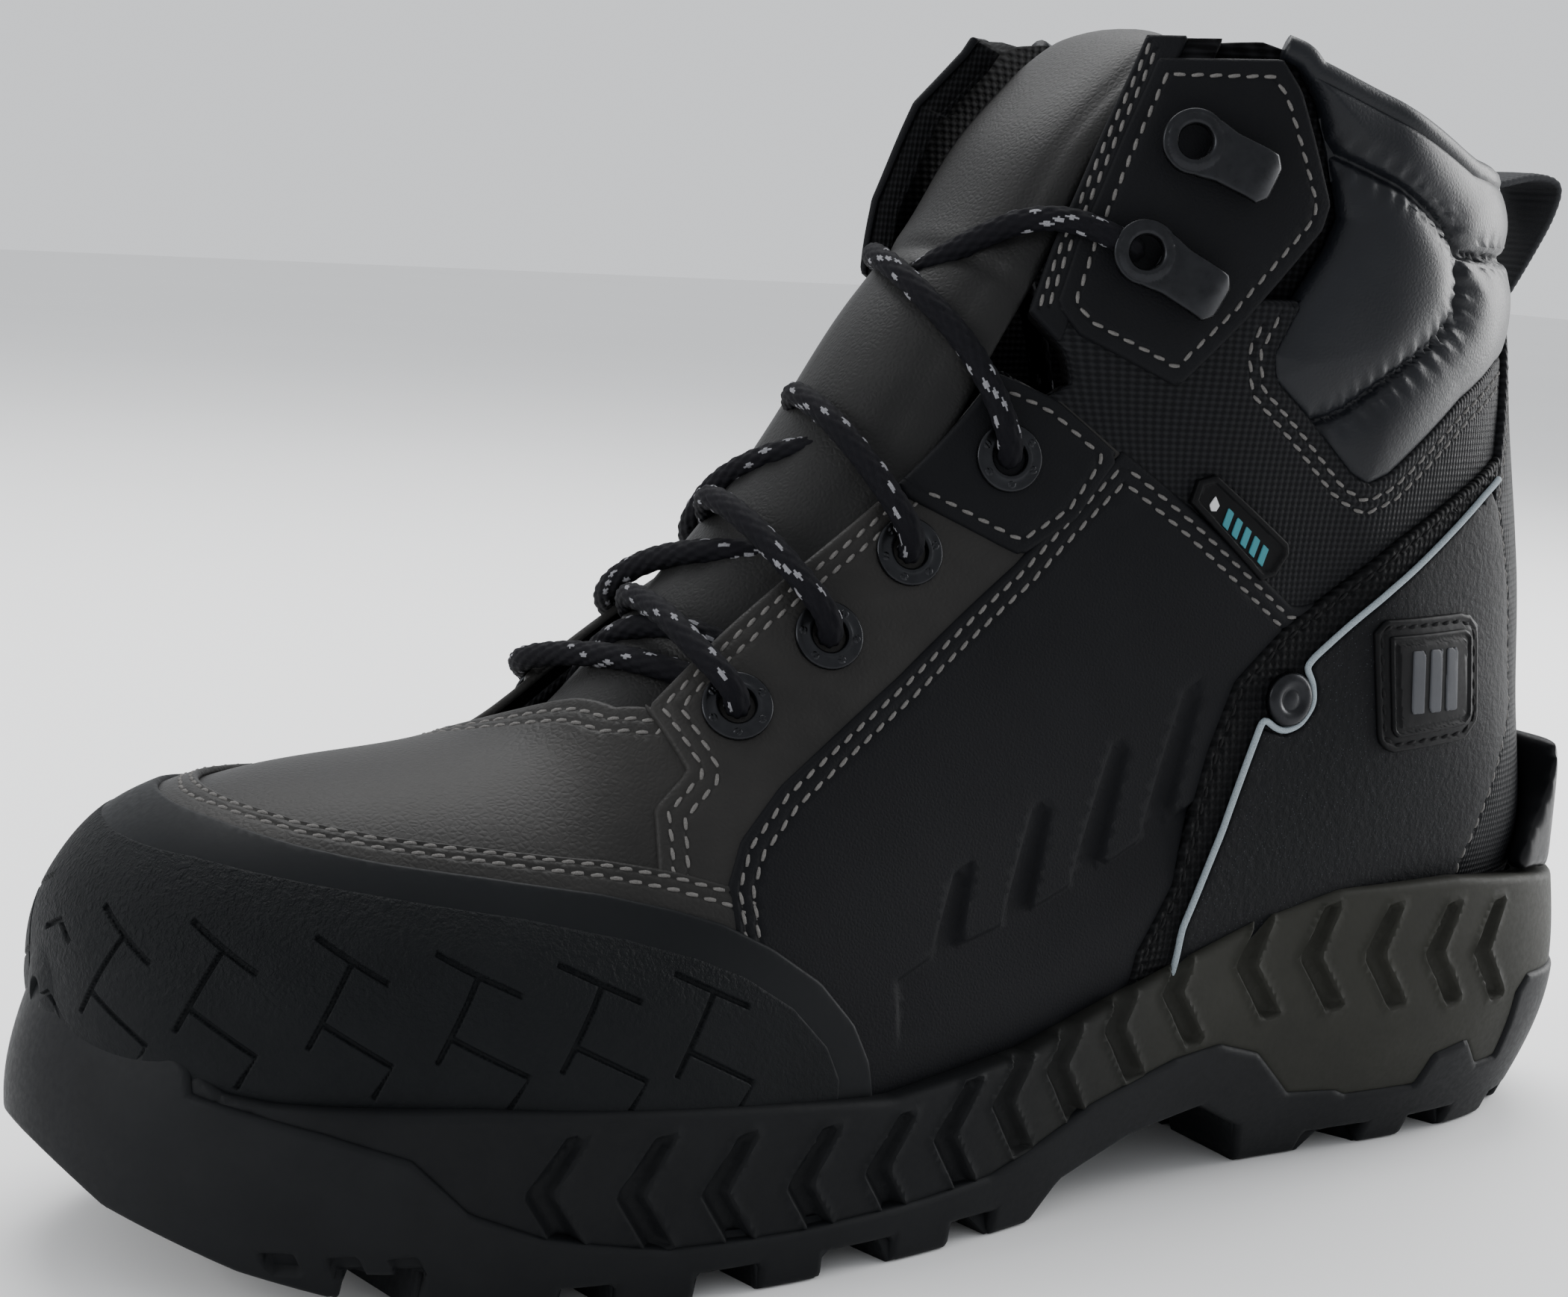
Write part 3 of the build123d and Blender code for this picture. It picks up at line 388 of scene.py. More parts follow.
COLLAR_SEAMS = [[(-54, 189.5), (-58.7, 187.9), (-65.1, 185.6), (-72.5, 182.8), (-78.6, 179.8),
                 (-85.2, 176.2), (-89.5, 171.7), (-91.2, 165), (-90.3, 160.1), (-86.4, 156.1),
                 (-81.2, 152.7), (-76.6, 149.9), (-71.3, 146.1), (-66.9, 142.6), (-55, 137)],
                [(-89.5, 171.5), (-96, 171.2), (-112, 171), (-140, 171)]]
BUMPER_EDGE = [(170, 73.4), (135.5, 73.6), (129.7, 73), (121, 71.3), (111, 69.8), (96.6, 68.1),
               (78.5, 65.5), (67.6, 63.1), (59.4, 60.6), (51, 56.4), (41.8, 50.1), (35, 42.5),
               (31.8, 35.8), (30.2, 28.9), (30, 5)]
BUMPER_BAND = [(170, 68.4), (134.5, 68.5), (113, 65.7), (91.8, 62.6), (76.4, 59.3), (64.7, 55.9),
               (56.4, 52.5), (47.4, 46.7), (40.7, 39.6), (38, 33.8), (37.6, 5)]
BAND_WIDTH = 6.6
EYELET_PATCH = {
    "lateral": [(0.5, 148.2), (7, 143), (20.6, 128.5), (17.7, 126.7), (-2, 117.3), (-4.4, 116.4),
                (-15, 122.5), (-23.5, 133.6), (-12, 143)],
    "medial": [(0.5, 148.2), (7, 143), (24, 124), (20, 120), (4, 111), (0, 110.5),
               (-13, 118.5), (-23.5, 133.6), (-12, 143)],
}
HOOK_PATCH = [(-29, 202), (-46.5, 203), (-50, 198), (-58, 179), (-57, 174.5), (-44, 158),
              (-33, 146), (-16, 154), (-12, 159), (-16, 172), (-26, 197)]
HEEL_EDGE = [(-24, 20), (-28.4, 46.7), (-36, 58.1), (-43, 81.6), (-48.3, 94.1), (-58.2, 103.1),
             (-68.1, 109.5), (-82.2, 119.3), (-97, 126.9), (-107, 131.6), (-125, 141), (-200, 146)]
PIPING_LINE = [(-36, 20), (-38.1, 50), (-46.6, 67.2), (-54.8, 87.5), (-57, 85.6), (-60, 84.6),
               (-63.4, 85.9), (-66, 89.2), (-66.1, 92.6), (-63.6, 96.6), (-81.8, 110.9),
               (-105.6, 127.2), (-125, 137), (-200, 142)]
BACK_STAY_EDGE = [(-109, 20), (-109, 56), (-116, 71), (-122, 85), (-118, 107), (-110, 125),
                  (-114, 142), (-118, 158), (-200, 158)]
HEEL_BADGE = [(-80.5, 104.9), (-103, 105.2), (-106.8, 102.8), (-109.2, 84), (-105.5, 80.7), (-85, 79.6),
              (-81.8, 82), (-78.3, 102.6)]
SIDE_LABEL = [(-41.6, 131), (-38.2, 130), (-36.9, 126), (-52.4, 112.2), (-55.4, 113), (-58, 117),
              (-57.6, 119)]
MIDSOLE_TOP = [(170, 45), (151, 45.5), (147.6, 48), (143.8, 46.8), (140.6, 41.4), (135.5, 36.8),
               (130, 36), (101, 35.6), (70, 33.3), (48, 31.5), (27, 29.5), (-3, 33), (-33.5, 42.6),
               (-57, 50), (-77, 54), (-107.5, 54), (-128, 52), (-154, 49), (-170, 49)]
# The quarter's pressed pattern: four slots that run up from a lower field, whose top line is
# SLOT_LINE.
SLOTS = [[(13.3, 65), (8.2, 67.1), (11.5, 53.2), (11.2, 49), (18.6, 49), (18.4, 51.7)],
         [(-4.1, 74.8), (-9.4, 76.4), (-4.3, 57.4), (-4.5, 52), (3, 50), (3, 55.2)],
         [(-21.4, 84.4), (-26.5, 86.1), (-20, 63.2), (-20, 58), (-12.4, 56), (-12.4, 60.5)],
         [(-36.8, 93.1), (-42.5, 96), (-35.6, 70.4), (-35.6, 64), (-28.1, 62), (-28.1, 67)]]
SLOT_LINE = [(26, 48.5), (18.4, 51.7), (11.5, 53.2), (3, 55.2), (-4.3, 57.4), (-12.4, 60.5),
             (-20, 63.2), (-28.1, 67), (-35.6, 70.4), (-46, 76)]
LOWER_FIELD = SLOT_LINE + [(-46, 55), (26, 34)]
THROAT_PLAN = [(80, -14), (75, -3), (69, 10), (66, 18.5), (62, THROAT_Y["lateral"]),
               (-90, THROAT_Y["lateral"]), (-90, THROAT_Y["medial"]), (72, THROAT_Y["medial"]),
               (78, -24)]


PAGE_LOW, PAGE_HIGH, PAGE_FRONT = -20, 260, 220    # limits that no outline reaches


def closed_by(line, corners):
    outline = list(line)
    for corner in corners:
        if corner != outline[-1] and corner != outline[0]:
            outline.append(corner)
    return outline


def below(line):
    return closed_by(line, [(line[-1][0], PAGE_LOW), (line[0][0], PAGE_LOW)])


def above(line):
    return closed_by(line, [(line[-1][0], PAGE_HIGH), (line[0][0], PAGE_HIGH)])


def ahead(line):
    return closed_by(line, [(PAGE_FRONT, line[-1][1]), (PAGE_FRONT, line[0][1])])


def behind(line):
    return closed_by(line, [(-PAGE_FRONT, line[-1][1]), (-PAGE_FRONT, line[0][1])])


def raised(line, rise):
    return [(x, z + rise) for x, z in line]


# ---------------------------------------------------------------- distances along a surface
PLANES = {"side": [0, 2], "plan": [0, 1], "round": [3, 2]}
LEAST_SLOPE = 0.09          # keeps steep places from stretching a distance without end
THROAT_LOWEST = 60          # the throat is open only above this height
HALF_OVERLAP = 2.0          # how far each half reaches past the middle


def flat_view(sheet, plane):
    """A sheet's points and normals seen flat. The round view is the side view until x is
    ROUND_FROM, then goes on round the toe."""
    points, normals = sheet.points, sheet.normals
    if plane == "round":
        forward, aside = points[:, 0] - ROUND_FROM, np.abs(points[:, 1] - ROUND_CENTRE_Y)
        turned = ROUND_FROM + ROUND_RADIUS * np.arctan2(forward, aside)
        along = np.where(forward > 0, turned, points[:, 0])
        points = np.column_stack([points, along])
        normals = np.column_stack([normals, along * 0])
    return points[:, PLANES[plane]], normals[:, PLANES[plane]]


def inside(outline, grow=0.0, plane="side"):
    """How far inside an outline a surface's vertices are, measured along the surface."""
    corner = np.array(outline, float)
    following = np.roll(corner, -1, axis=0)
    edge = following - corner

    def measure(sheet):
        flat, tilt = flat_view(sheet, plane)
        offset = flat[:, None, :] - corner[None]
        share = np.clip((offset * edge).sum(2) / (edge ** 2).sum(1), 0, 1)
        offset -= edge[None] * share[:, :, None]
        distance = np.linalg.norm(offset, axis=2)
        nearest = distance.argmin(axis=1)
        rows = np.arange(len(flat))
        distance, offset = distance[rows, nearest], offset[rows, nearest]
        x, z = flat[:, :1], flat[:, 1:]
        spans = (corner[:, 1] > z) != (following[:, 1] > z)
        rise = np.where(edge[:, 1] == 0, 1e-9, edge[:, 1])
        crossed = spans & (x < edge[:, 0] * (z - corner[:, 1]) / rise + corner[:, 0])
        sign = np.where(crossed.sum(axis=1) % 2 == 1, 1.0, -1.0)
        across = np.stack([edge[nearest, 1], -edge[nearest, 0]], axis=1)
        across /= np.linalg.norm(across, axis=1, keepdims=True)
        way = np.where(distance[:, None] < 1e-4, across, offset / np.maximum(distance, 1e-9)[:, None])
        slope = (way * tilt).sum(axis=1)
        return sign * distance / np.sqrt(np.maximum(1 - slope ** 2, LEAST_SLOPE)) + grow

    return measure


def outside(outline, grow=0.0, plane="side"):
    within = inside(outline, 0.0, plane)
    return lambda sheet: grow - within(sheet)


def on_half(side):
    return lambda sheet: sheet.points[:, 1] * SIDES[side] + HALF_OVERLAP


def off_line(line):
    """Distance from an open side-view line, and the place along it, of points (x, y, z)."""
    corner = np.array(line, float)
    start, edge = corner[:-1], np.diff(corner, axis=0)
    length = np.linalg.norm(edge, axis=1)
    before = np.concatenate([[0], np.cumsum(length)[:-1]])

    def measure(points):
        offset = points[:, [0, 2]][:, None] - start[None]
        share = np.clip((offset * edge).sum(2) / length ** 2, 0, 1)
        distance = np.linalg.norm(offset - edge[None] * share[:, :, None], axis=2)
        nearest = distance.argmin(axis=1)
        rows = np.arange(len(points))
        return distance[rows, nearest], (before + share * length)[rows, nearest]

    return measure


def either(*measures):
    return lambda sheet: np.max([measure(sheet) for measure in measures], axis=0)


def all_of(*measures):
    return lambda sheet: np.min([measure(sheet) for measure in measures], axis=0)


OFF_THROAT = either(outside(THROAT_PLAN, plane="plan"), lambda sheet: THROAT_LOWEST - sheet.points[:, 2])
UNDER_TOP = inside(below(COLLAR_TOP))


def back_from_throat(gap):
    return lambda sheet: OFF_THROAT(sheet) - gap


OFF_NOTCH = outside(NOTCH)
ABOVE_SOLE = inside(above(raised(MIDSOLE_TOP, -9.0)))


# ---------------------------------------------------------------- making meshes
def new_object(name, vertices, faces, material, body="boot"):
    mesh = bpy.data.meshes.new(name)
    mesh.from_pydata(vertices.tolist(), [], faces if isinstance(faces, list) else faces.tolist())
    mesh.validate()
    mesh.shade_smooth()
    mesh.materials.append(material)
    piece = bpy.data.objects.new(name, mesh)
    bpy.context.scene.collection.objects.link(piece)
    if body:
        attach(piece, body)
    return piece


def tube_faces(rings, sides):
    """The faces round a tube made of rings of points, and then its two ends."""
    ids = np.arange(rings * sides).reshape(rings, sides)
    near, far = ids[:-1], ids[1:]
    walls = np.stack([near, np.roll(near, -1, 1), np.roll(far, -1, 1), far], 2).reshape(-1, 4)
    return walls.tolist() + [ids[0][::-1].tolist(), ids[-1].tolist()]


def edges_of(triangles):
    return np.concatenate([triangles[:, [0, 1]], triangles[:, [1, 2]], triangles[:, [2, 0]]])


def rim(triangles):
    """The directed edges that only one triangle uses."""
    edges = edges_of(triangles)
    ordered = np.sort(edges, axis=1)
    _, first, count = np.unique(ordered, axis=0, return_index=True, return_counts=True)
    return edges[first[count == 1]]


def closed_solid(top, bottom, triangles):
    """Vertices and triangles of a slab between two copies of one sheet."""
    count = len(top)
    edges = rim(triangles)
    a, b = edges[:, 0], edges[:, 1]
    walls = np.concatenate([np.stack([a, a + count, b + count], 1), np.stack([a, b + count, b], 1)])
    faces = np.concatenate([triangles, triangles[:, ::-1] + count, walls])
    return np.vstack([top, bottom]), faces


def chains(edges):
    """Edges joined end to end into runs of vertex numbers."""
    links = {}
    for a, b in edges:
        links.setdefault(a, []).append(b)
        links.setdefault(b, []).append(a)
    runs, seen = [], set()
    ends = [v for v in links if len(links[v]) != 2]
    for start in ends + list(links):
        if start in seen:
            continue
        run = [start]
        seen.add(start)
        while True:
            onward = [v for v in links[run[-1]] if v not in seen]
            if not onward:
                break
            run.append(onward[0])
            seen.add(onward[0])
        if len(run) > 2 and run[0] in links[run[-1]] and len(run) > 6:
            run.append(run[0])
        if len(run) > 1:
            runs.append(run)
    return runs


def runs_along(triangles, chosen):
    """The runs of edges whose ends are both chosen."""
    edges = edges_of(triangles)
    edges = edges[chosen[edges].all(axis=1)]
    return chains(np.unique(np.sort(edges, axis=1), axis=0).tolist())


def evenly(points, normals, pitch):
    """Points, directions and normals at even steps along a run."""
    reach = distances_along(points)
    count = int(reach[-1] / pitch)
    if count < 1:
        return None
    at = (np.arange(count) + 0.5) * reach[-1] / count
    ahead_of, behind_of = np.minimum(at + 0.5, reach[-1]), np.maximum(at - 0.5, 0)
    centre, normal = points_at(at, reach, points), points_at(at, reach, normals)
    direction = points_at(ahead_of, reach, points) - points_at(behind_of, reach, points)
    direction /= np.linalg.norm(direction, axis=1, keepdims=True)
    normal -= direction * (normal * direction).sum(axis=1, keepdims=True)
    normal /= np.linalg.norm(normal, axis=1, keepdims=True)
    return centre, direction, normal


STITCH = {"pitch": 3.1, "length": 2.55, "radius": 0.36, "slant": 0.16}


def stitch_mesh(centre, direction, normal):
    """Plump little stitches that dip into the leather at both ends."""
    sides = 6
    shares = np.array([-1.0, -0.72, 0.0, 0.72, 1.0])
    width = np.array([0.35, 0.9, 1.0, 0.9, 0.35]) * STITCH["radius"]
    lift = np.array([-0.34, 0.02, 0.2, 0.02, -0.34])
    across = np.cross(normal, direction)
    turned = direction * cos(STITCH["slant"]) + across * sin(STITCH["slant"])
    flank = np.cross(normal, turned)
    spine = (centre[:, None] + turned[:, None] * shares[None, :, None] * STITCH["length"] / 2
             + normal[:, None] * lift[None, :, None])
    angle = 2 * pi * np.arange(sides) / sides
    round_about = (flank[:, None] * np.cos(angle)[None, :, None]
                   + normal[:, None] * np.sin(angle)[None, :, None] * 0.8)
    points = spine[:, :, None] + round_about[:, None] * width[None, :, None, None]
    one = tube_faces(len(shares), sides)
    starts = range(0, len(centre) * len(shares) * sides, len(shares) * sides)
    faces = [tuple(v + start for v in face) for start in starts for face in one]
    return points.reshape(-1, 3), faces


ROLL = [1 - cos(pi / 2 * k / 4) for k in range(1, 5)]
CHANNEL_HALF, CHANNEL_DEPTH = 0.7, 0.3    # the groove that a row of stitches lies in
CHANNEL_SLACK, THREAD_SLACK = 0.3, 0.25   # how far short of its offset either still runs
FINE_MARGIN = 3.0


def pressed(measure, depth, width, start=0.0):
    """A relief that sinks evenly to a depth, over a width from where it starts."""
    return (measure, (start, start + width),
            lambda value, points: -depth * np.clip((value - start) / width, 0, 1))


def panel(name, bounds, level, thick, look, edge=0.9, rows=(), features=(), base=None,
          thread="thread", replaces=(), shape=None, fine=0):
    """A slab laid on a stretch of a surface, with rolled edges, stitch rows and relief.

    rows are (distance measure, offset in) and features are (measure, split levels, rise).
    fine says how often the surface's net is halved first, for small shapes. shape, where there
    is one, moves the finished points.
    """
    sheet = base or UPPER
    distance = all_of(*bounds)(sheet)
    near = distance[sheet.triangles].max(axis=1) > (-FINE_MARGIN if fine else 0.0)
    sheet = sheet.only(distance)
    sheet = Sheet(sheet.table, sheet.triangles[near]).used()
    for _ in range(fine):
        sheet = sheet.finer()
        sheet = sheet.only(all_of(*bounds)(sheet))
    sheet = sheet.where(6, 0.0)
    for share in ROLL:
        sheet = sheet.split(6, edge * share)
    splits = [(measure, levels) for measure, levels, _ in features]
    splits += [(measure, (offset - CHANNEL_HALF, offset, offset + CHANNEL_HALF))
               for measure, offset in rows]
    for measure, levels in splits:
        sheet = sheet.plus(measure(sheet))
        for one in levels:
            sheet = sheet.split(-1, one)
    distance = sheet.table[:, 6]
    of_features = sheet.table[:, 7:].T
    of_rows = of_features[len(features):]
    short = 1 - np.clip(distance / edge, 0, 1)
    height = level - edge * (1 - np.sqrt(np.maximum(1 - short ** 2, 0)))
    for value, (_, _, rise) in zip(of_features, features):
        height = height + rise(value, sheet.points)
    for value, (_, offset) in zip(of_rows, rows):
        close = np.maximum(0, 1 - np.abs(value - offset) / CHANNEL_HALF)
        height = height - CHANNEL_DEPTH * close * (distance > offset - CHANNEL_SLACK)
    top = sheet.points + sheet.normals * height[:, None]
    bottom = sheet.points + sheet.normals * (level - thick)
    vertices, faces = closed_solid(top, bottom, sheet.triangles)
    if shape:
        vertices = shape(vertices)
    piece = new_object(name, placed(vertices), faces, LOOK[look])
    if replaces:
        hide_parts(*replaces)
    if rows:
        parts = []
        for value, (_, offset) in zip(of_rows, rows):
            on_line = (np.abs(value - offset) < 1e-5) & (distance > offset - THREAD_SLACK)
            for run in runs_along(sheet.triangles, on_line):
                spaced = evenly(top[run], sheet.normals[run], STITCH["pitch"])
                if spaced:
                    parts.append(stitch_mesh(*spaced))
        join_parts(name + "_stitching", parts, LOOK[thread])
    return piece


BEAD = {"sides": 12, "pitch": 0.7, "fewest": 8, "near": 4}


def bead(name, line, bounds, radius, lift, look, replaces=()):
    """A round cord laid along a line of the upper, where the bounds allow it."""
    sheet = UPPER.only(line(UPPER))
    near = np.abs(sheet.table[:, 6])[UPPER.triangles].min(axis=1) < BEAD["near"]
    sheet = Sheet(sheet.table, UPPER.triangles[near]).used().split(6, 0.0)
    sheet = sheet.plus(all_of(*bounds)(sheet)).where(7, 0.0)
    parts = []
    for run in runs_along(sheet.triangles, np.abs(sheet.table[:, 6]) < 1e-5):
        spaced = evenly(sheet.points[run], sheet.normals[run], BEAD["pitch"])
        if not spaced or len(spaced[0]) < BEAD["fewest"]:
            continue
        centre, direction, normal = spaced
        for _ in range(2):
            centre[1:-1] = (centre[:-2] + 2 * centre[1:-1] + centre[2:]) / 4
        across = np.cross(direction, normal)
        angle = 2 * pi * np.arange(BEAD["sides"]) / BEAD["sides"]
        turn = np.cos(angle)[None, :, None], np.sin(angle)[None, :, None]
        rings = (centre + normal * lift)[:, None] + radius * (
            turn[0] * normal[:, None] + turn[1] * across[:, None])
        parts.append((rings.reshape(-1, 3), tube_faces(*rings.shape[:2])))
    piece = join_parts(name, parts, LOOK[look])
    if replaces:
        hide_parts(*replaces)
    return piece


def join_parts(name, parts, material):
    """Many small (vertices, faces) pieces as one object."""
    vertices, faces, start = [], [], 0
    for points, own in parts:
        vertices.append(points)
        faces += [tuple(v + start for v in face) for face in own]
        start += len(points)
    return new_object(name, placed(np.vstack(vertices)), faces, material)


# ---------------------------------------------------------------- materials
class Nodes:
    """A small helper that adds and joins the nodes of one material."""

    def __init__(self, name):
        self.material = bpy.data.materials.new(name)
        self.material.use_nodes = True
        self.tree = self.material.node_tree
        self.shader = self.tree.nodes["Principled BSDF"]
        self.place = self.add("ShaderNodeTexCoord").outputs["Object"]

    def feed(self, socket, value):
        """Joins a node's output to a socket, or sets the socket to a plain value."""
        if isinstance(value, bpy.types.NodeSocket):
            self.tree.links.new(value, socket)
        else:
            socket.default_value = value

    def add(self, kind, inputs=None, **settings):
        node = self.tree.nodes.new(kind)
        for key, value in settings.items():
            setattr(node, key, value)
        for key, value in (inputs or {}).items():
            self.feed(node.inputs[key], value)
        return node

    def math(self, operation, a, b=0.0):
        return self.add("ShaderNodeMath", {0: a, 1: b}, operation=operation).outputs[0]

    def noise(self, scale, detail=3.0):
        node = self.add("ShaderNodeTexNoise", {
            "Vector": self.place, "Scale": scale, "Detail": detail, "Roughness": 0.6})
        return node.outputs["Fac"]

    def cells(self, scale, feature="F1"):
        inputs = {"Vector": self.place, "Scale": scale}
        node = self.add("ShaderNodeTexVoronoi", inputs, feature=feature)
        return node.outputs["Distance"]

    def spread(self, value, low, high, to_low=0.0, to_high=1.0):
        node = self.add("ShaderNodeMapRange", {
            "Value": value, "From Min": low, "From Max": high, "To Min": to_low, "To Max": to_high})
        return node.outputs["Result"]

    def mix(self, share, first, second):
        node = self.add("ShaderNodeMix", {0: share}, data_type="RGBA")
        self.feed(node.inputs[6], first)
        self.feed(node.inputs[7], second)
        return node.outputs[2]

    def bump(self, height, distance, strength=1.0, under=None):
        inputs = {"Height": height, "Distance": distance, "Strength": strength}
        if under:
            inputs["Normal"] = under
        return self.add("ShaderNodeBump", inputs).outputs["Normal"]

    def finish(self, **sockets):
        for key, value in sockets.items():
            self.feed(self.shader.inputs[key.replace("_", " ")], value)
        return self.material


def shade(red, green, blue):
    return (red, green, blue, 1.0)


def leather(name, dark, light, roughness, grain, grain_depth, shine):
    """Grained leather: creased cells over a fine pore noise, worn a little lighter in places."""
    n = Nodes(name)
    creases = n.cells(grain, "DISTANCE_TO_EDGE")
    pores = n.noise(grain * 2.6, 2.0)
    cloud = n.noise(38.0, 4.0)
    normal = n.bump(n.spread(creases, 0.0, 0.35), grain_depth, 0.55)
    normal = n.bump(pores, grain_depth * 0.7, 0.4, normal)
    rough = n.spread(n.math("ADD", cloud, n.math("MULTIPLY", pores, 0.4)), 0.45, 0.95,
                     roughness - 0.05, roughness + 0.05)
    return n.finish(Base_Color=n.mix(n.spread(cloud, 0.3, 0.75), dark, light),
                    Roughness=rough, Normal=normal, Specular_IOR_Level=shine)


def rubber(name, dark, light, roughness, scale=0.0, depth=0.0, shine=0.08):
    """Moulded rubber or foam, with an optional pebbled mould texture that fades downwards."""
    n = Nodes(name)
    cloud = n.noise(60.0, 5.0)
    dust = n.noise(900.0, 2.0)
    normal = n.bump(dust, 0.00004, 0.5)
    if scale:
        warped = n.noise(scale, 3.0)
        ridges = n.math("ABSOLUTE", n.math("SUBTRACT", warped, 0.5))
        up = n.add("ShaderNodeSeparateXYZ", {"Vector": n.place}).outputs["Z"]
        pebbles = n.math("MULTIPLY", n.spread(ridges, 0.0, 0.16),
                         n.spread(up, 0.046, 0.062, 0.15, 1.0))
        normal = n.bump(pebbles, depth, 0.9, normal)
    return n.finish(Base_Color=n.mix(n.spread(cloud, 0.3, 0.7), dark, light),
                    Roughness=n.spread(dust, 0.3, 0.7, roughness - 0.05, roughness + 0.06),
                    Normal=normal, Specular_IOR_Level=shine)


def woven(name, dark, light, roughness, pitch, depth, diagonal=True):
    """Cloth or a pressed weave: two crossed ripples, in the panel's own plane."""
    n = Nodes(name)
    split = n.add("ShaderNodeSeparateXYZ", {"Vector": n.place}).outputs
    along = n.math("ADD", split["X"], n.math("ABSOLUTE", split["Y"]))
    up = split["Z"]
    first = n.math("ADD", along, up) if diagonal else along
    second = n.math("SUBTRACT", along, up) if diagonal else up
    turns = 2 * pi / pitch / (sqrt(2) if diagonal else 1)
    ripple_a = n.math("SINE", n.math("MULTIPLY", first, turns))
    ripple_b = n.math("SINE", n.math("MULTIPLY", second, turns))
    weave = n.math("MULTIPLY", ripple_a, ripple_b)
    fuzz = n.noise(1800.0, 2.0)
    normal = n.bump(n.spread(weave, -0.6, 0.9), depth, 0.8)
    normal = n.bump(fuzz, 0.00006, 0.5, normal)
    return n.finish(Base_Color=n.mix(n.spread(weave, -0.5, 0.9), dark, light),
                    Roughness=n.spread(fuzz, 0.3, 0.7, roughness - 0.06, roughness + 0.06),
                    Normal=normal, Specular_IOR_Level=0.05)


def speckled(name, dark, light):
    """Abrasion-proof heel cloth: dark, with fine bright grains."""
    n = Nodes(name)
    grains = n.cells(1500.0)
    bright = n.spread(grains, 0.16, 0.05)
    rough = n.noise(700.0, 3.0)
    normal = n.bump(rough, 0.00022, 0.9)
    return n.finish(Base_Color=n.mix(bright, dark, light), Roughness=0.6, Normal=normal,
                    Specular_IOR_Level=0.08)


def metal(name, colour, roughness):
    n = Nodes(name)
    cloud = n.noise(420.0, 4.0)
    bright = [c * 1.5 for c in colour[:3]] + [1]
    return n.finish(Base_Color=n.mix(n.spread(cloud, 0.3, 0.7), colour, bright),
                    Roughness=n.spread(cloud, 0.3, 0.75, roughness - 0.07, roughness + 0.09),
                    Metallic=0.85, Normal=n.bump(cloud, 0.00003, 0.4))


def thread_look(name, colour):
    n = Nodes(name)
    fibre = n.noise(5200.0, 2.0)
    deep = [c * 0.55 for c in colour[:3]] + [1]
    return n.finish(Base_Color=n.mix(n.spread(fibre, 0.3, 0.7), deep, colour),
                    Roughness=0.8, Normal=n.bump(fibre, 0.00008, 0.7), Specular_IOR_Level=0.1)


def midsole_look():
    """Matte foam: black under the forefoot, turning dark olive towards the heel."""
    n = Nodes("midsole_foam")
    along = n.add("ShaderNodeSeparateXYZ", {"Vector": n.place}).outputs["X"]
    cloud = n.noise(60.0, 5.0)
    dust = n.noise(900.0, 2.0)
    olive = n.mix(n.spread(cloud, 0.3, 0.7), shade(.017, .0172, .0145), shade(.022, .0222, .0185))
    black = n.mix(n.spread(cloud, 0.3, 0.7), shade(.0055, .0059, .0066), shade(.0075, .0080, .0088))
    normal = n.bump(dust, 0.00004, 0.5)
    return n.finish(Base_Color=n.mix(n.spread(along, 0.012, -0.045), black, olive), Normal=normal,
                    Roughness=n.spread(dust, 0.3, 0.7, 0.55, 0.66), Specular_IOR_Level=0.08)


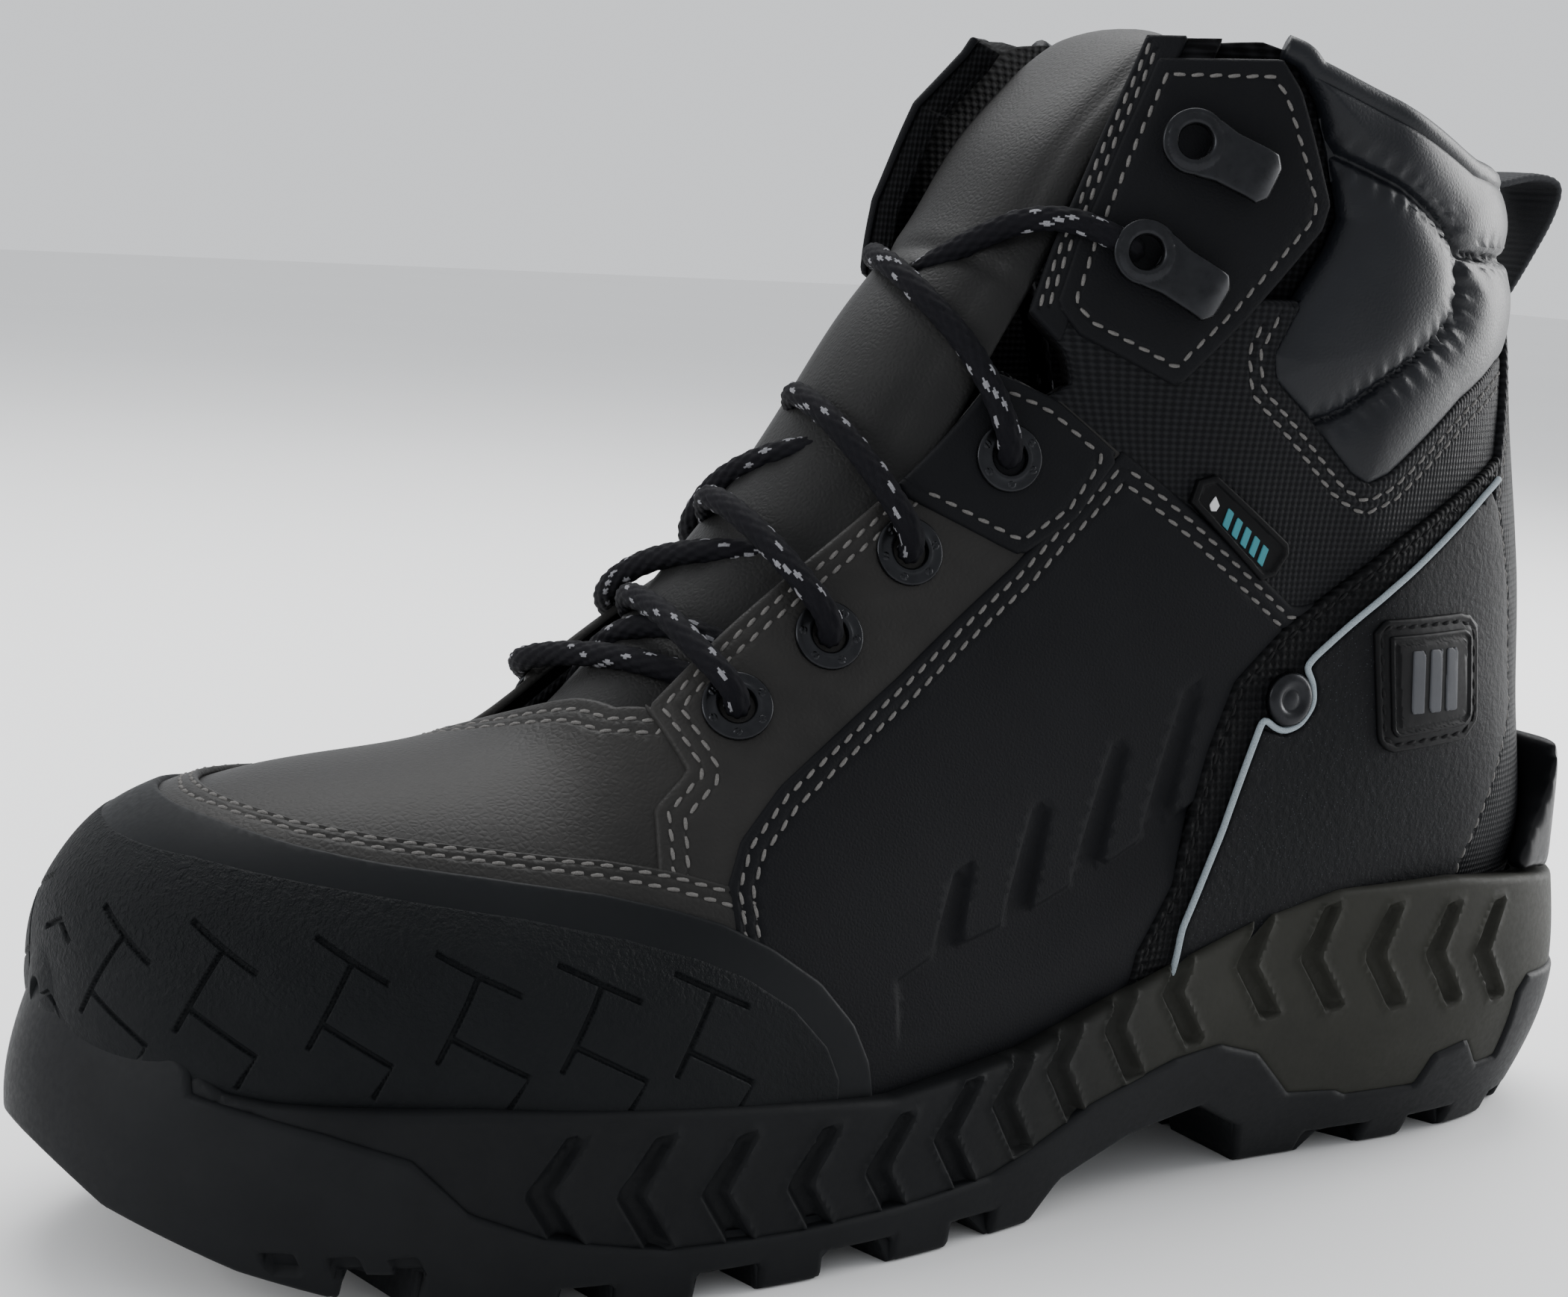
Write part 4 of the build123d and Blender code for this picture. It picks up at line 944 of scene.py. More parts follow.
LOOK = {
    "smooth": leather("smooth_leather", shade(.013, .0127, .0124), shade(.022, .0212, .0202), .46, 860,
                      .00008, .09),
    "tongue": leather("tongue_leather", shade(.0075, .0075, .0076), shade(.0130, .0129, .0128), .48, 980,
                      .00007, .13),
    "nubuck": leather("nubuck_leather", shade(.0048, .0050, .0059), shade(.0070, .0073, .0084), .6, 1300,
                      .00005, .06),
    "padded": leather("padded_leather", shade(.0060, .0067, .0085), shade(.0090, .0100, .0125), .40, 1100,
                      .00004, .17),
    "ankle": woven("ankle_weave", shade(.0048, .0050, .0057), shade(.0125, .0129, .0142), .55,
                   .0016, .00022),
    "binding": woven("heel_binding_weave", shade(.0017, .0018, .0021), shade(.0055, .0056, .0062), .6,
                     .0022, .0004),
    "mesh": woven("lining_mesh", shade(.0016, .0016, .0018), shade(.0075, .0076, .0085), .8, .0018, .0003),
    "bumper": rubber("bumper_rubber", shade(.0046, .0052, .0059), shade(.0063, .0070, .0078), .6, 620,
                     .00028, .07),
    "bumper_band": rubber("bumper_band_rubber", shade(.0046, .0052, .0060),
                          shade(.0056, .0063, .0072), .5),
    "heel": speckled("heel_fabric", shade(.0034, .0037, .0045), shade(.05, .055, .062)),
    "lace": thread_look("lace_braid", shade(.0045, .0045, .0065)),
    "fleck": thread_look("lace_fleck", shade(.20, .20, .215)),
    "webbing": thread_look("ribbed_webbing", shade(.035, .036, .039)),
    "tip": rubber("lace_tip_plastic", shade(.004, .004, .0045), shade(.006, .006, .0065), .3, shine=.3),
    "piping": thread_look("reflective_piping", shade(.30, .35, .38)),
    "thread": thread_look("grey_thread", shade(.135, .13, .125)),
    "dark_thread": thread_look("dark_thread", shade(.009, .009, .0095)),
    "gunmetal": metal("gunmetal", shade(.011, .0115, .013), .30),
    "badge": rubber("badge_rubber", shade(.0025, .0026, .003), shade(.0036, .0037, .0042), .5),
    "badge_mark": rubber("badge_mark_rubber", shade(.045, .047, .052), shade(.055, .057, .063), .5),
    "label_teal": rubber("label_teal", shade(.035, .16, .19), shade(.045, .19, .22), .5),
    "label_white": rubber("label_white", shade(.45, .45, .46), shade(.52, .52, .53), .5),
    "outsole": rubber("outsole_rubber", shade(.0062, .0067, .0075), shade(.0085, .0091, .0100), .52),
    "midsole": midsole_look(),
    "ledge": rubber("heel_ledge", shade(.0032, .0034, .004), shade(.0045, .0048, .0056), .38, shine=.14),
    "board": rubber("lasting_board", shade(.10, .085, .065), shade(.13, .11, .085), .8),
    "footbed": rubber("footbed_foam", shade(.010, .0105, .012), shade(.014, .0145, .016), .8),
    "composite": rubber("cap_composite", shade(.09, .09, .092), shade(.11, .11, .112), .5, shine=.3),
    "stiffener": rubber("stiffener_plastic", shade(.02, .02, .021), shade(.026, .026, .027), .5, shine=.3),
    "steel": metal("shank_steel", shade(.30, .31, .32), .35),
}


# ---------------------------------------------------------------- the lace
EYELETS = {
    "lateral": [(50.0, 92.4), (32.6, 103.4), (16.3, 116.9), (-2.7, 132.7)],
    "medial": [(55.0, 84.0), (38.0, 94.0), (22.0, 106.0), (3.0, 121.0)],
}
HOOKS = {                         # the centre of each hook's eye, and its foot
    "lateral": [((-25.2, 168.6), (-37.5, 161.2)), ((-32.8, 187.6), (-45.0, 181.8))],
    "medial": [((-25.2, 166.6), (-37.5, 159.2)), ((-32.8, 185.6), (-45.0, 179.8))],
}
HEEL_RIVET = (-60.3, 90.6)
LACE_R = 2.2
# How deep the lace runs, in from the upper's outer surface.
OVER_EDGE, UNDER_EDGE = -2.9, 6.9
OVER_TONGUE, CROSS_OVER = 7.3, 2.5
LACE_OUT, LACE_IN = 5.6, 7.4

SEATS = {side: [on_side(x, z, side) for x, z in EYELETS[side]] for side in SIDES}
HOOK_SEATS = {side: [(on_side(*ring, side), on_side(*tail, side)) for ring, tail in HOOKS[side]]
              for side in SIDES}


def over(t, side):
    return throat_point(t, THROAT_Y[side], OVER_EDGE)


def under(t, side):
    return throat_point(t, THROAT_Y[side], UNDER_EDGE)


def through(seat, inward):
    point, normal = seat
    outer, inner = point + normal * LACE_OUT, point - normal * LACE_IN
    return [outer, inner] if inward else [inner, outer]


def lace_route():
    """The laced run from hook to hook. n1 to n4 are the lateral eyelets, counted from the toe,
    and f1 to f4 the medial ones."""
    n1, n2, n3, n4 = SEATS["lateral"]
    f1, f2, f3, f4 = SEATS["medial"]
    hook_n, hook_f = HOOK_SEATS["lateral"][0][0], HOOK_SEATS["medial"][0][0]
    return [
        *through(hook_n, False),
        over(14.5, "lateral"),
        throat_point(13.5, 8, OVER_TONGUE - 1),
        throat_point(12.3, -12, OVER_TONGUE - 2.5),
        over(11.5, "medial"),
        *through(f4, True),
        throat_point(11.3, -8, CROSS_OVER + 1),
        throat_point(11.1, 10, CROSS_OVER - 0.5),
        over(10.9, "lateral"),
        *through(n3, True),
        throat_point(9.7, 8, OVER_TONGUE),
        throat_point(9.4, -12, OVER_TONGUE - 3),
        over(9.1, "medial"),
        *through(f2, True),
        throat_point(8.95, -8, CROSS_OVER + 1),
        throat_point(8.82, 12, CROSS_OVER - 1.5),
        over(8.72, "lateral"),
        *through(n1, True),
        under(8.85, "lateral"),
        throat_point(8.5, 8, OVER_TONGUE - 0.5),
        throat_point(8.25, -12, OVER_TONGUE - 3.5),
        over(8.05, "medial"),
        *through(f1, True),
        throat_point(8.62, -10, OVER_TONGUE),
        throat_point(8.95, 8, OVER_TONGUE),
        under(9.22, "lateral"),
        *through(n2, False),
        over(9.8, "lateral"),
        throat_point(9.9, 8, CROSS_OVER - 0.5),
        throat_point(10.0, -8, CROSS_OVER + 1),
        *through(f3, False),
        over(10.05, "medial"),
        throat_point(10.4, -12, OVER_TONGUE - 3),
        throat_point(10.9, 8, OVER_TONGUE),
        *through(n4, False),
        over(12.5, "lateral"),
        throat_point(12.85, 8, CROSS_OVER - 0.5),
        throat_point(13.2, -10, CROSS_OVER - 1),
        over(13.6, "medial"),
        *through(hook_f, True),
    ]


LACE_END_RUNS = {
    "lateral": [(-36, 19, 163), (-42, 23, 147), (-46, 26, 124), (-48, 27, 99), (-47, 26, 76),
                (-40, 23, 56), (-25, 20, 43.5), (-4, 17, 38.2), (18, 13, 35), (40, 10, 33.6)],
    "medial": [(-37, -19, 161), (-44, -22, 145), (-50, -25, 122), (-53, -26, 98), (-52, -25, 75),
               (-44, -21, 56), (-28, -18, 44.5), (-6, -17, 38.8), (16, -13, 35.2), (37, -6, 33.6)],
}


def nurbs_line(points, name):
    """The smooth line that a cord follows, read back from its NURBS spline (metres)."""
    curve = bpy.data.curves.new(name, "CURVE")
    curve.dimensions = "3D"
    spline = curve.splines.new("NURBS")
    spline.points.add(len(points) - 1)
    for control, point in zip(spline.points, points):
        control.co = (*point, 1.0)
    spline.order_u = 3
    spline.use_endpoint_u = True
    spline.resolution_u = 16
    holder = bpy.data.objects.new(name, curve)
    bpy.context.scene.collection.objects.link(holder)
    bpy.context.view_layer.update()
    mesh = bpy.data.meshes.new_from_object(holder)
    line = np.array([tuple(vertex.co) for vertex in mesh.vertices])
    bpy.data.objects.remove(holder)
    bpy.data.meshes.remove(mesh)
    return line


def resampled(line, step):
    reach = distances_along(line)
    at = np.linspace(0, reach[-1], max(int(reach[-1] / step), 2))
    return points_at(at, reach, line), at


def frames_along(line):
    """A sideways and an upward direction at every point of a line, without twist."""
    direction = directions(line)
    start = np.cross(direction[0], (0, 0, 1))
    if np.linalg.norm(start) < 0.1:
        start = np.cross(direction[0], (0, 1, 0))
    sideways = [start / np.linalg.norm(start)]
    for way in direction[1:]:
        turned = sideways[-1] - way * (sideways[-1] @ way)
        sideways.append(turned / np.linalg.norm(turned))
    sideways = np.array(sideways)
    return sideways, np.cross(direction, sideways)


BRAID = {"sides": 40, "strands": 8, "step": 0.0004, "cell": 0.0021, "relief": 0.17}


def braided_cord(name, line, radius):
    """A round braid of eight strands each way. Two of the strands are pale, and show as
    flecks wherever they come to the top."""
    line, at = resampled(line, BRAID["step"])
    side, up = frames_along(line)
    sides = BRAID["sides"]
    angle = 2 * pi * (np.arange(sides) + 0.5) / sides
    turn = at[:, None] / BRAID["cell"]
    first = BRAID["strands"] * angle[None] / (2 * pi) + turn / 2
    second = BRAID["strands"] * angle[None] / (2 * pi) - turn / 2
    on_top = (np.floor(first) + np.floor(second)) % 2 == 0
    over, beside = np.where(on_top, first, second) % 1, np.where(on_top, second, first) % 1
    swell = np.sin(pi * over) ** 0.7 * (0.45 + 0.55 * np.sin(pi * beside))
    reach = radius * (1 + BRAID["relief"] * (swell - 0.8))
    points = (line[:, None] + side[:, None] * (np.cos(angle)[None] * reach)[:, :, None]
              + up[:, None] * (np.sin(angle)[None] * reach)[:, :, None])
    piece = new_object(name, points.reshape(-1, 3), tube_faces(len(line), sides), LOOK["lace"])
    piece.data.materials.append(LOOK["fleck"])
    strand = np.where(on_top, np.floor(first), np.floor(second) + 3) % BRAID["strands"]
    fleck = ((strand == 0) & (np.abs(over - 0.5) < 0.30) & (np.abs(beside - 0.5) < 0.34))[:-1]
    marks = np.concatenate([fleck.ravel(), [False, False]]).astype(np.int32)
    piece.data.polygons.foreach_set("material_index", marks)
    return piece, line, at[-1]


def lace_tip(name, start, heading):
    """A moulded tip with two crimped rings and a rounded nose."""
    profile = [(0.0, 0.4), (0.3, 1.7), (2.2, 1.7), (2.6, 1.45), (3.2, 1.45), (3.6, 1.7), (6.0, 1.7),
               (6.4, 1.45), (7.0, 1.45), (7.4, 1.65), (19.5, 1.55), (21.0, 1.3), (21.8, 0.8), (22.0, 0.05)]
    points, faces = lathe([(radius, along) for along, radius in profile], 20)
    return new_object(name, placed(turned_to(points, start, heading)), faces, LOOK["tip"])


def lathe(profile, sides):
    """A turned form about Z from (radius, height) pairs. Its last two faces close its ends."""
    angle = 2 * pi * np.arange(sides) / sides
    points = np.array([[(r * cos(a), r * sin(a), h) for a in angle] for r, h in profile])
    return points.reshape(-1, 3), tube_faces(len(profile), sides)


def turned_to(points, origin, normal, along=(0.0, 0.0, 1.0)):
    """Points of a small local model, with its Z on a normal and its X nearest to `along`."""
    z = np.array(normal) / np.linalg.norm(normal)
    x = np.array(along, float) - z * (np.array(along, float) @ z)
    if np.linalg.norm(x) < 1e-3:
        x = np.cross(z, (0.0, 1.0, 0.0))
    x /= np.linalg.norm(x)
    y = np.cross(z, x)
    points = np.asarray(points)
    return np.asarray(origin) + points[:, :1] * x + points[:, 1:2] * y + points[:, 2:3] * z


def build_lace():
    laced, _, _ = braided_cord("laced_run", nurbs_line(placed(lace_route()), "lace_line"), LACE_R * MM)
    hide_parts("lace")
    for side in SIDES:
        seat = HOOK_SEATS[side][0][0]
        start = through(seat, True)[1]
        runs = [start, start - seat[1] * 6, *LACE_END_RUNS[side]]
        line = nurbs_line(placed(runs), "lace_end_line")
        piece, path, length = braided_cord("loose_lace_" + side, line, LACE_R * MM)
        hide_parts("lace_end_" + side)
        heading = np.array(runs[-1]) - np.array(runs[-2])
        heading = heading / np.linalg.norm(heading)
        tip = lace_tip("lace_end_tip_" + side, runs[-1], heading)
        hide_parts("lace_tip_" + side)
        tuple(path[0])


build_lace()


# ---------------------------------------------------------------- lace hardware
def flat_sheet(x_range, y_range, spacing):
    x = np.arange(x_range[0], x_range[1] + spacing, spacing)
    y = np.arange(y_range[0], y_range[1] + spacing, spacing)
    grid = np.stack([*np.meshgrid(x, y), np.zeros((len(y), len(x)))], axis=2)
    sheet = grid_sheet(grid, False)
    return sheet.turned_over() if sheet.normals[:, 2].mean() < 0 else sheet


def in_circle(centre, radius):
    return lambda sheet: radius - np.hypot(*(sheet.points[:, :2] - centre).T)


def screw_head(radius, turn):
    """A low dome with a slot across it."""
    angles, rings = 16, (0.0, 0.35, 0.7, 1.0)
    points, faces = [(0, 0, 0.34)], []
    for share in rings[1:]:
        for k in range(angles):
            a = 2 * pi * k / angles
            x, y = share * radius * cos(a), share * radius * sin(a)
            slot = 0.3 if abs(x * cos(turn) + y * sin(turn)) < 0.17 * radius else 0.0
            points.append((x, y, 0.36 * sqrt(max(1 - share ** 2, 0)) - (slot if share < 1 else 0)))
    points[0] = (0, 0, 0.06)
    for k in range(angles):
        faces.append((0, 1 + k, 1 + (k + 1) % angles))
        for ring in range(2):
            a, b = 1 + ring * angles + k, 1 + ring * angles + (k + 1) % angles
            faces.append((a, a + angles, b + angles, b))
    return np.array(points), faces


WASHER_DOTS, WASHER_DOT_R, WASHER_DOT_RING, WASHER_FACE = 6, 0.78, 4.65, 0.76


def build_eyelets():
    profile = [(3.0, -3.6), (3.0, 0.6), (3.15, 0.95), (3.5, 1.1), (3.9, 1.0), (4.2, 0.82), (5.1, 0.78),
               (5.45, 0.86), (5.75, 0.8), (5.95, 0.5), (5.95, 0.0), (3.4, 0.0), (3.4, -3.6)]
    points, faces = lathe(profile + profile[:1], 48)
    for side in SIDES:
        parts = []
        for number, (point, normal) in enumerate(SEATS[side]):
            seat = point + normal * (1.0 if number == 3 else 0.1)
            parts.append((turned_to(points, seat, normal), faces[:-2]))
            for k in range(WASHER_DOTS):
                a = 2 * pi * (k + 0.35 * number) / WASHER_DOTS
                head, head_faces = screw_head(WASHER_DOT_R, a * 2.3 + number)
                head = head + (WASHER_DOT_RING * cos(a), WASHER_DOT_RING * sin(a), WASHER_FACE)
                parts.append((turned_to(head, seat, normal), head_faces))
        washers = join_parts("eyelet_washers_" + side, parts, LOOK["gunmetal"])
        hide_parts("eyelets_" + side)


HOOK_HOLE_R, HOOK_EYE_R, HOOK_DROP = 2.9, 5.7, 3.0
HOOK_PLATE_LIFT, HOOK_FOOT_LIFT = 4.2, 1.3     # above the leather


def hook_plate(reach):
    """A lace hook's flat outline on a flat sheet: an eye, a plate and a neck. build_hooks raises the eye's
    rim and bends the tail down to its foot.
    """
    sheet = flat_sheet((-7, reach + 3), (-7, 7), 0.42)
    half = 4.6
    plate = inside([(0, -half), (reach - 0.5, -half), (reach + 1.3, -half + 1.8),
                    (reach + 1.3, half - 1.8), (reach - 0.5, half), (0, half)], plane="plan")
    neck = inside([(-1, -5.4), (3, -5.2), (7, -4.4), (7, 4.4), (3, 5.2), (-1, 5.4)], plane="plan")
    return sheet, either(in_circle((0, 0), HOOK_EYE_R), plate, neck)


def bent_tail(reach):
    """Bends a flat plate down at its tail, up at its front, and into a ridge along its middle."""
    def bend(points):
        out = points.copy()
        along = np.clip((points[:, 0] - (reach - 3.2)) / 4.5, 0, 1)
        out[:, 2] -= HOOK_DROP * along ** 2 * 0.9
        rise = np.clip(-points[:, 0] / 6, 0, 1)
        out[:, 2] += 0.5 * rise ** 2
        ridge = 1 - np.clip(np.abs(points[:, 1]) / 5, 0, 1) ** 2
        out[:, 2] += 0.55 * ridge * np.clip(points[:, 0] / 5, 0, 1)
        return out
    return bend


def outside_hole(sheet):
    return np.hypot(sheet.points[:, 0], sheet.points[:, 1]) - HOOK_HOLE_R


def build_hooks():
    for side in SIDES:
        for number, ((ring, normal), (tail, _)) in enumerate(HOOK_SEATS[side]):
            along = tail - ring - normal * ((tail - ring) @ normal)
            reach = float(np.linalg.norm(along))
            sheet, outline = hook_plate(reach)
            bend = bent_tail(reach)
            origin = ring + normal * HOOK_PLATE_LIFT
            name = "lace_hook_{}_{}".format(side, number + 1)
            rim_rise = (outside_hole, (0.3, 0.9, 1.5, 2.1), lambda value, points:
                        0.55 * np.clip(1 - np.abs(value - 0.9) / 1.2, 0, 1) ** 0.7)
            piece = panel(name, [outline, outside_hole], 1.0, 1.3, "gunmetal", edge=0.55, base=sheet,
                          features=[rim_rise], shape=lambda p: turned_to(bend(p), origin, normal, along))
            foot = flat_sheet((1, reach + 1), (-5, 5), 0.5)
            low = inside([(3, -3.3), (reach - 0.5, -3.3), (reach + 0.6, -2.2), (reach + 0.6, 2.2),
                          (reach - 0.5, 3.3), (3, 3.3)], plane="plan")
            floor = ring + normal * HOOK_FOOT_LIFT
            panel(name + "_foot", [low], 0.9, 0.9, "gunmetal", edge=0.35, base=foot,
                  shape=lambda p: turned_to(p, floor, normal, along))
            if number == 0:
                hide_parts("lace_hooks_" + side)


def build_rivets():
    profile = [(0.0, 1.2), (1.3, 1.25), (1.6, 1.05), (2.2, 1.0), (2.5, 1.3), (3.4, 1.5), (4.3, 1.35),
               (4.9, 0.9), (5.0, 0.3), (5.0, -0.6), (0.0, -0.6)]
    for side in SIDES:
        point, normal = on_side(*HEEL_RIVET, side)
        points, faces = lathe([(max(r, 0.01), h) for r, h in profile], 40)
        piece = new_object("heel_stud_" + side, placed(turned_to(points, point + normal * 1.6, normal)),
                           faces, LOOK["gunmetal"])
        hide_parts("heel_rivet_" + side)


# ---------------------------------------------------------------- the sole
SOLE_WIDEST = [(156, -8), (151.5, 11), (142, 26.5), (127, 40), (107, 49), (83, 53.4), (55, 54),
               (25, 52), (-5, 48), (-35, 43.5), (-65, 41.5), (-95, 41.5), (-122, 38.5),
               (-143, 29.5), (-155, 14), (-158, -1), (-154, -15), (-142, -28), (-121, -36),
               (-93, -38.5), (-63, -38), (-33, -38.5), (-3, -42), (27, -47), (57, -50),
               (85, -49.6), (108, -48), (128, -42.5), (144, -31.5), (153, -20)]
SOLE_TREAD = [(150, -9), (146, 8), (137, 22), (122, 35), (103, 44), (81, 49.5), (54, 51.5),
              (25, 49.5), (-4, 44), (-34, 36), (-64, 31), (-94, 31), (-119, 29), (-138, 22),
              (-148.5, 10), (-151, -1), (-148, -12), (-137, -22), (-117, -28.5), (-92, -30),
              (-62, -30), (-32, -33), (-3, -38), (27, -43.5), (56, -46.5), (83, -47),
              (104, -44.5), (122, -38), (138, -28), (147, -19)]
RUBBER_TOP = [(170, 70), (139.5, 70), (139, 36), (123, 32.3), (111, 28.4), (101.8, 19.2),
              (90, 14.3), (81, 12.2), (68, 9.8), (45, 9.5), (20, 10.5), (4, 12), (-7, 16),
              (-18, 21), (-38, 26.6), (-49, 28), (-59, 25), (-70, 15), (-82, 14), (-85, 12.7),
              (-103, 12.6), (-105, 19), (-114, 21), (-120, 14.6), (-126, 15), (-127.3, 28.8),
              (-131, 32), (-170, 30)]
GROUND_LINE = [(170, 34), (158, 24), (148, 14.5), (132, 7.5), (114, 2.6), (94, 0), (-8, 0),
               (-14, 7), (-30, 12.5), (-48, 15.5), (-60, 9), (-64, 0), (-143, 0), (-152, 3.5),
               (-159, 11), (-170, 20)]
FOREFOOT_GAPS = [(118, 106), (86, 77), (63, 51.5), (39, 25), (11.5, 1.5)]
HEEL_GAPS = [(-79, -94), (-106, -117.5), (-132.5, -144)]
LUG_CUTS = [(-12, 122, 19), (-150, -60, 11)]    # from, to, and how far from the middle
CHEVRON_TOPS = [(85.5, 30.5), (70.5, 29), (55.5, 27.5), (39.5, 26.5), (24, 26.5), (10, 30),
                (-2.5, 34), (-14.5, 38.5), (-28, 43.5), (-42, 48), (-60, 51), (-75.5, 51),
                (-91, 50), (-106.5, 49), (-120, 48)]
TREAD_DEPTH = 4.6
SOLE_LEVELS = [0, 27, 46, 66]
SOLE_COLUMNS = 640
WALL_HEIGHT, WALL_ROWS = 56, 44


def drawn_in(outline, toe, sides):
    moved = []
    for x, y in outline:
        length = hypot(x * 0.4, y)
        back = toe * max(0.0, (x - 95) / 60)
        moved.append((x - back - x * 0.4 / length * sides, y - y / length * sides))
    return moved


def sole_wall():
    """The sole's side, as a net that runs round it from the ground up."""
    outlines = [SOLE_TREAD, SOLE_WIDEST, drawn_in(SOLE_WIDEST, 4.5, 0.8), drawn_in(SOLE_WIDEST, 9, 4)]
    knots = np.array([[(x, y, z) for x, y in outline] for outline, z in zip(outlines, SOLE_LEVELS)])
    shares = chord_shares(knots[1])
    round_it = spline_weights(shares, np.arange(SOLE_COLUMNS) / SOLE_COLUMNS, 1.0)
    rings = np.einsum("cr,srk->sck", round_it, knots)
    heights = np.linspace(0, WALL_HEIGHT, WALL_ROWS)
    grid = np.einsum("as,sck->ack", spline_weights(SOLE_LEVELS, heights), rings)
    grid[:, :, 2] = heights[:, None]
    return grid_sheet(grid, True).facing_out()


def gap_outline(front, back, edge):
    """A V-shaped channel right across the tread, wide at both edges, pointing to the toe."""
    centre = (front + back) / 2 + 5
    return [(front, 80), (back, 80), (back, edge), (centre - 2.5, 9), (centre - 2.5, -9),
            (back, -edge), (back, -80), (front, -80), (front, -edge), (centre + 2.5, -9),
            (centre + 2.5, 9), (front, edge)]


def widened(line, half_width):
    """A ribbon outline of the given half width along a line."""
    left, right = [], []
    for i, (x, z) in enumerate(line):
        x0, z0 = line[max(i - 1, 0)]
        x1, z1 = line[min(i + 1, len(line) - 1)]
        length = hypot(x1 - x0, z1 - z0)
        nx, nz = -(z1 - z0) / length * half_width, (x1 - x0) / length * half_width
        left.append((x + nx, z + nz))
        right.append((x - nx, z - nz))
    return left + right[::-1]


CHANNELS = ([(gap_outline(front, back, 50), TREAD_DEPTH + (4 if front > 110 else 0))
             for front, back in FOREFOOT_GAPS]
            + [(gap_outline(front, back, 30), TREAD_DEPTH) for front, back in HEEL_GAPS])


def off_channels(sheet):
    """Clear of the tread's channels, which notch the sole's edge up to their depth."""
    measures = [either(outside(outline, plane="plan"), lambda s, top=depth: s.points[:, 2] - top)
                for outline, depth in CHANNELS]
    return all_of(*measures)(sheet)


def chevron(x, z):
    """One arrow groove of the side wall, pointing to the toe."""
    return inside([(x - 1.2, z + 0.6), (x + 2.2, z + 0.2), (x + 8.4, z - 9), (x + 1.4, z - 19.6),
                   (x - 2.4, z - 18.6), (x + 4.0, z - 9)])


def build_sole():
    wall = sole_wall()
    chevrons = either(*[chevron(x, z) for x, z in CHEVRON_TOPS])
    groove = (chevrons, (-0.5, 0.0, 0.6, 1.3),
              lambda value, points: -1.9 * np.clip((value + 0.2) / 1.4, 0, 1) ** 0.8
              + 0.35 * np.clip(1 - np.abs(value + 0.4) / 0.6, 0, 1))
    panel("midsole_wall", [inside(below(MIDSOLE_TOP)), inside(above(RUBBER_TOP), 1.0)],
          0.0, 8.0, "midsole", edge=1.6, base=wall, features=[groove], replaces=["midsole"])
    windows = either(*[inside([(x, 8.0), (x - 4.5, 8.6), (x - 2.5, 12.5), (x + 2, 12)])
                       for x in (128, 119.5, 111)])
    panel("outsole_wall", [inside(below(RUBBER_TOP)), inside(below(MIDSOLE_TOP)), off_channels,
                           inside(above(GROUND_LINE))],
          0.7, 8.5, "outsole", edge=1.3, base=wall, features=[pressed(windows, 1.6, 0.5)],
          replaces=["outsole"])
    build_tread()


def build_tread():
    """The ground side of the outsole, with its lugs, channels and fine cross cuts."""
    ground = np.array(sorted(GROUND_LINE))
    sheet = flat_sheet((-160, 158), (-52, 56), 1.5)
    sheet.table[:, 2] = np.interp(sheet.points[:, 0], ground[:, 0], ground[:, 1])
    slope = np.interp(sheet.points[:, 0], (ground[1:, 0] + ground[:-1, 0]) / 2,
                      np.diff(ground[:, 1]) / np.diff(ground[:, 0]))
    sheet.table[:, 3:6] = np.column_stack([slope, slope * 0, -np.ones(len(slope))])
    sheet.table[:, 3:6] /= np.linalg.norm(sheet.normals, axis=1, keepdims=True)
    sheet.triangles = sheet.triangles[:, ::-1].copy()
    low, high = inside(SOLE_TREAD, 0.3, "plan"), inside(SOLE_WIDEST, 0.0, "plan")

    def in_plan(s):
        share = np.clip(s.points[:, 2] / SOLE_LEVELS[1], 0, 1)
        return low(s) * (1 - share) + high(s) * share

    channels = either(*[inside(outline, plane="plan") for outline, _ in CHANNELS])
    cuts = either(*[inside([(back, y - 1.5), (front, y - 1.5), (front, y + 1.5), (back, y + 1.5)],
                           plane="plan")
                    for back, front, aside in LUG_CUTS for y in (-aside, aside)])

    def channel_rise(value, points):
        roof = np.where(points[:, 0] > 100, TREAD_DEPTH + 5, TREAD_DEPTH + 0.6)
        return -np.maximum(roof - points[:, 2], 0) * np.clip(value / 0.7, 0, 1)

    panel("outsole_tread", [in_plan], 0.0, 11.0, "outsole", edge=0.8, base=sheet,
          features=[(channels, (0.0, 0.7), channel_rise), pressed(cuts, 2.2, 0.6)])


def softened(node, name, voxel, look, passes=6):
    """A moulded piece with its edges eased: the CAD solid, remeshed and smoothed."""
    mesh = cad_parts[node].data.copy()
    mesh.name = name
    piece = bpy.data.objects.new(name, mesh)
    bpy.context.scene.collection.objects.link(piece)
    remesh = piece.modifiers.new("remesh", "REMESH")
    remesh.mode, remesh.voxel_size, remesh.use_smooth_shade = "VOXEL", voxel, True
    smooth = piece.modifiers.new("smooth", "SMOOTH")
    smooth.factor, smooth.iterations = 0.5, passes
    bpy.context.view_layer.update()
    done = bpy.data.meshes.new_from_object(piece.evaluated_get(bpy.context.evaluated_depsgraph_get()))
    piece.modifiers.clear()
    piece.data = done
    done.materials.clear()
    done.materials.append(LOOK[look])
    done.shade_smooth()
    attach(piece, "boot")
    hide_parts(node)


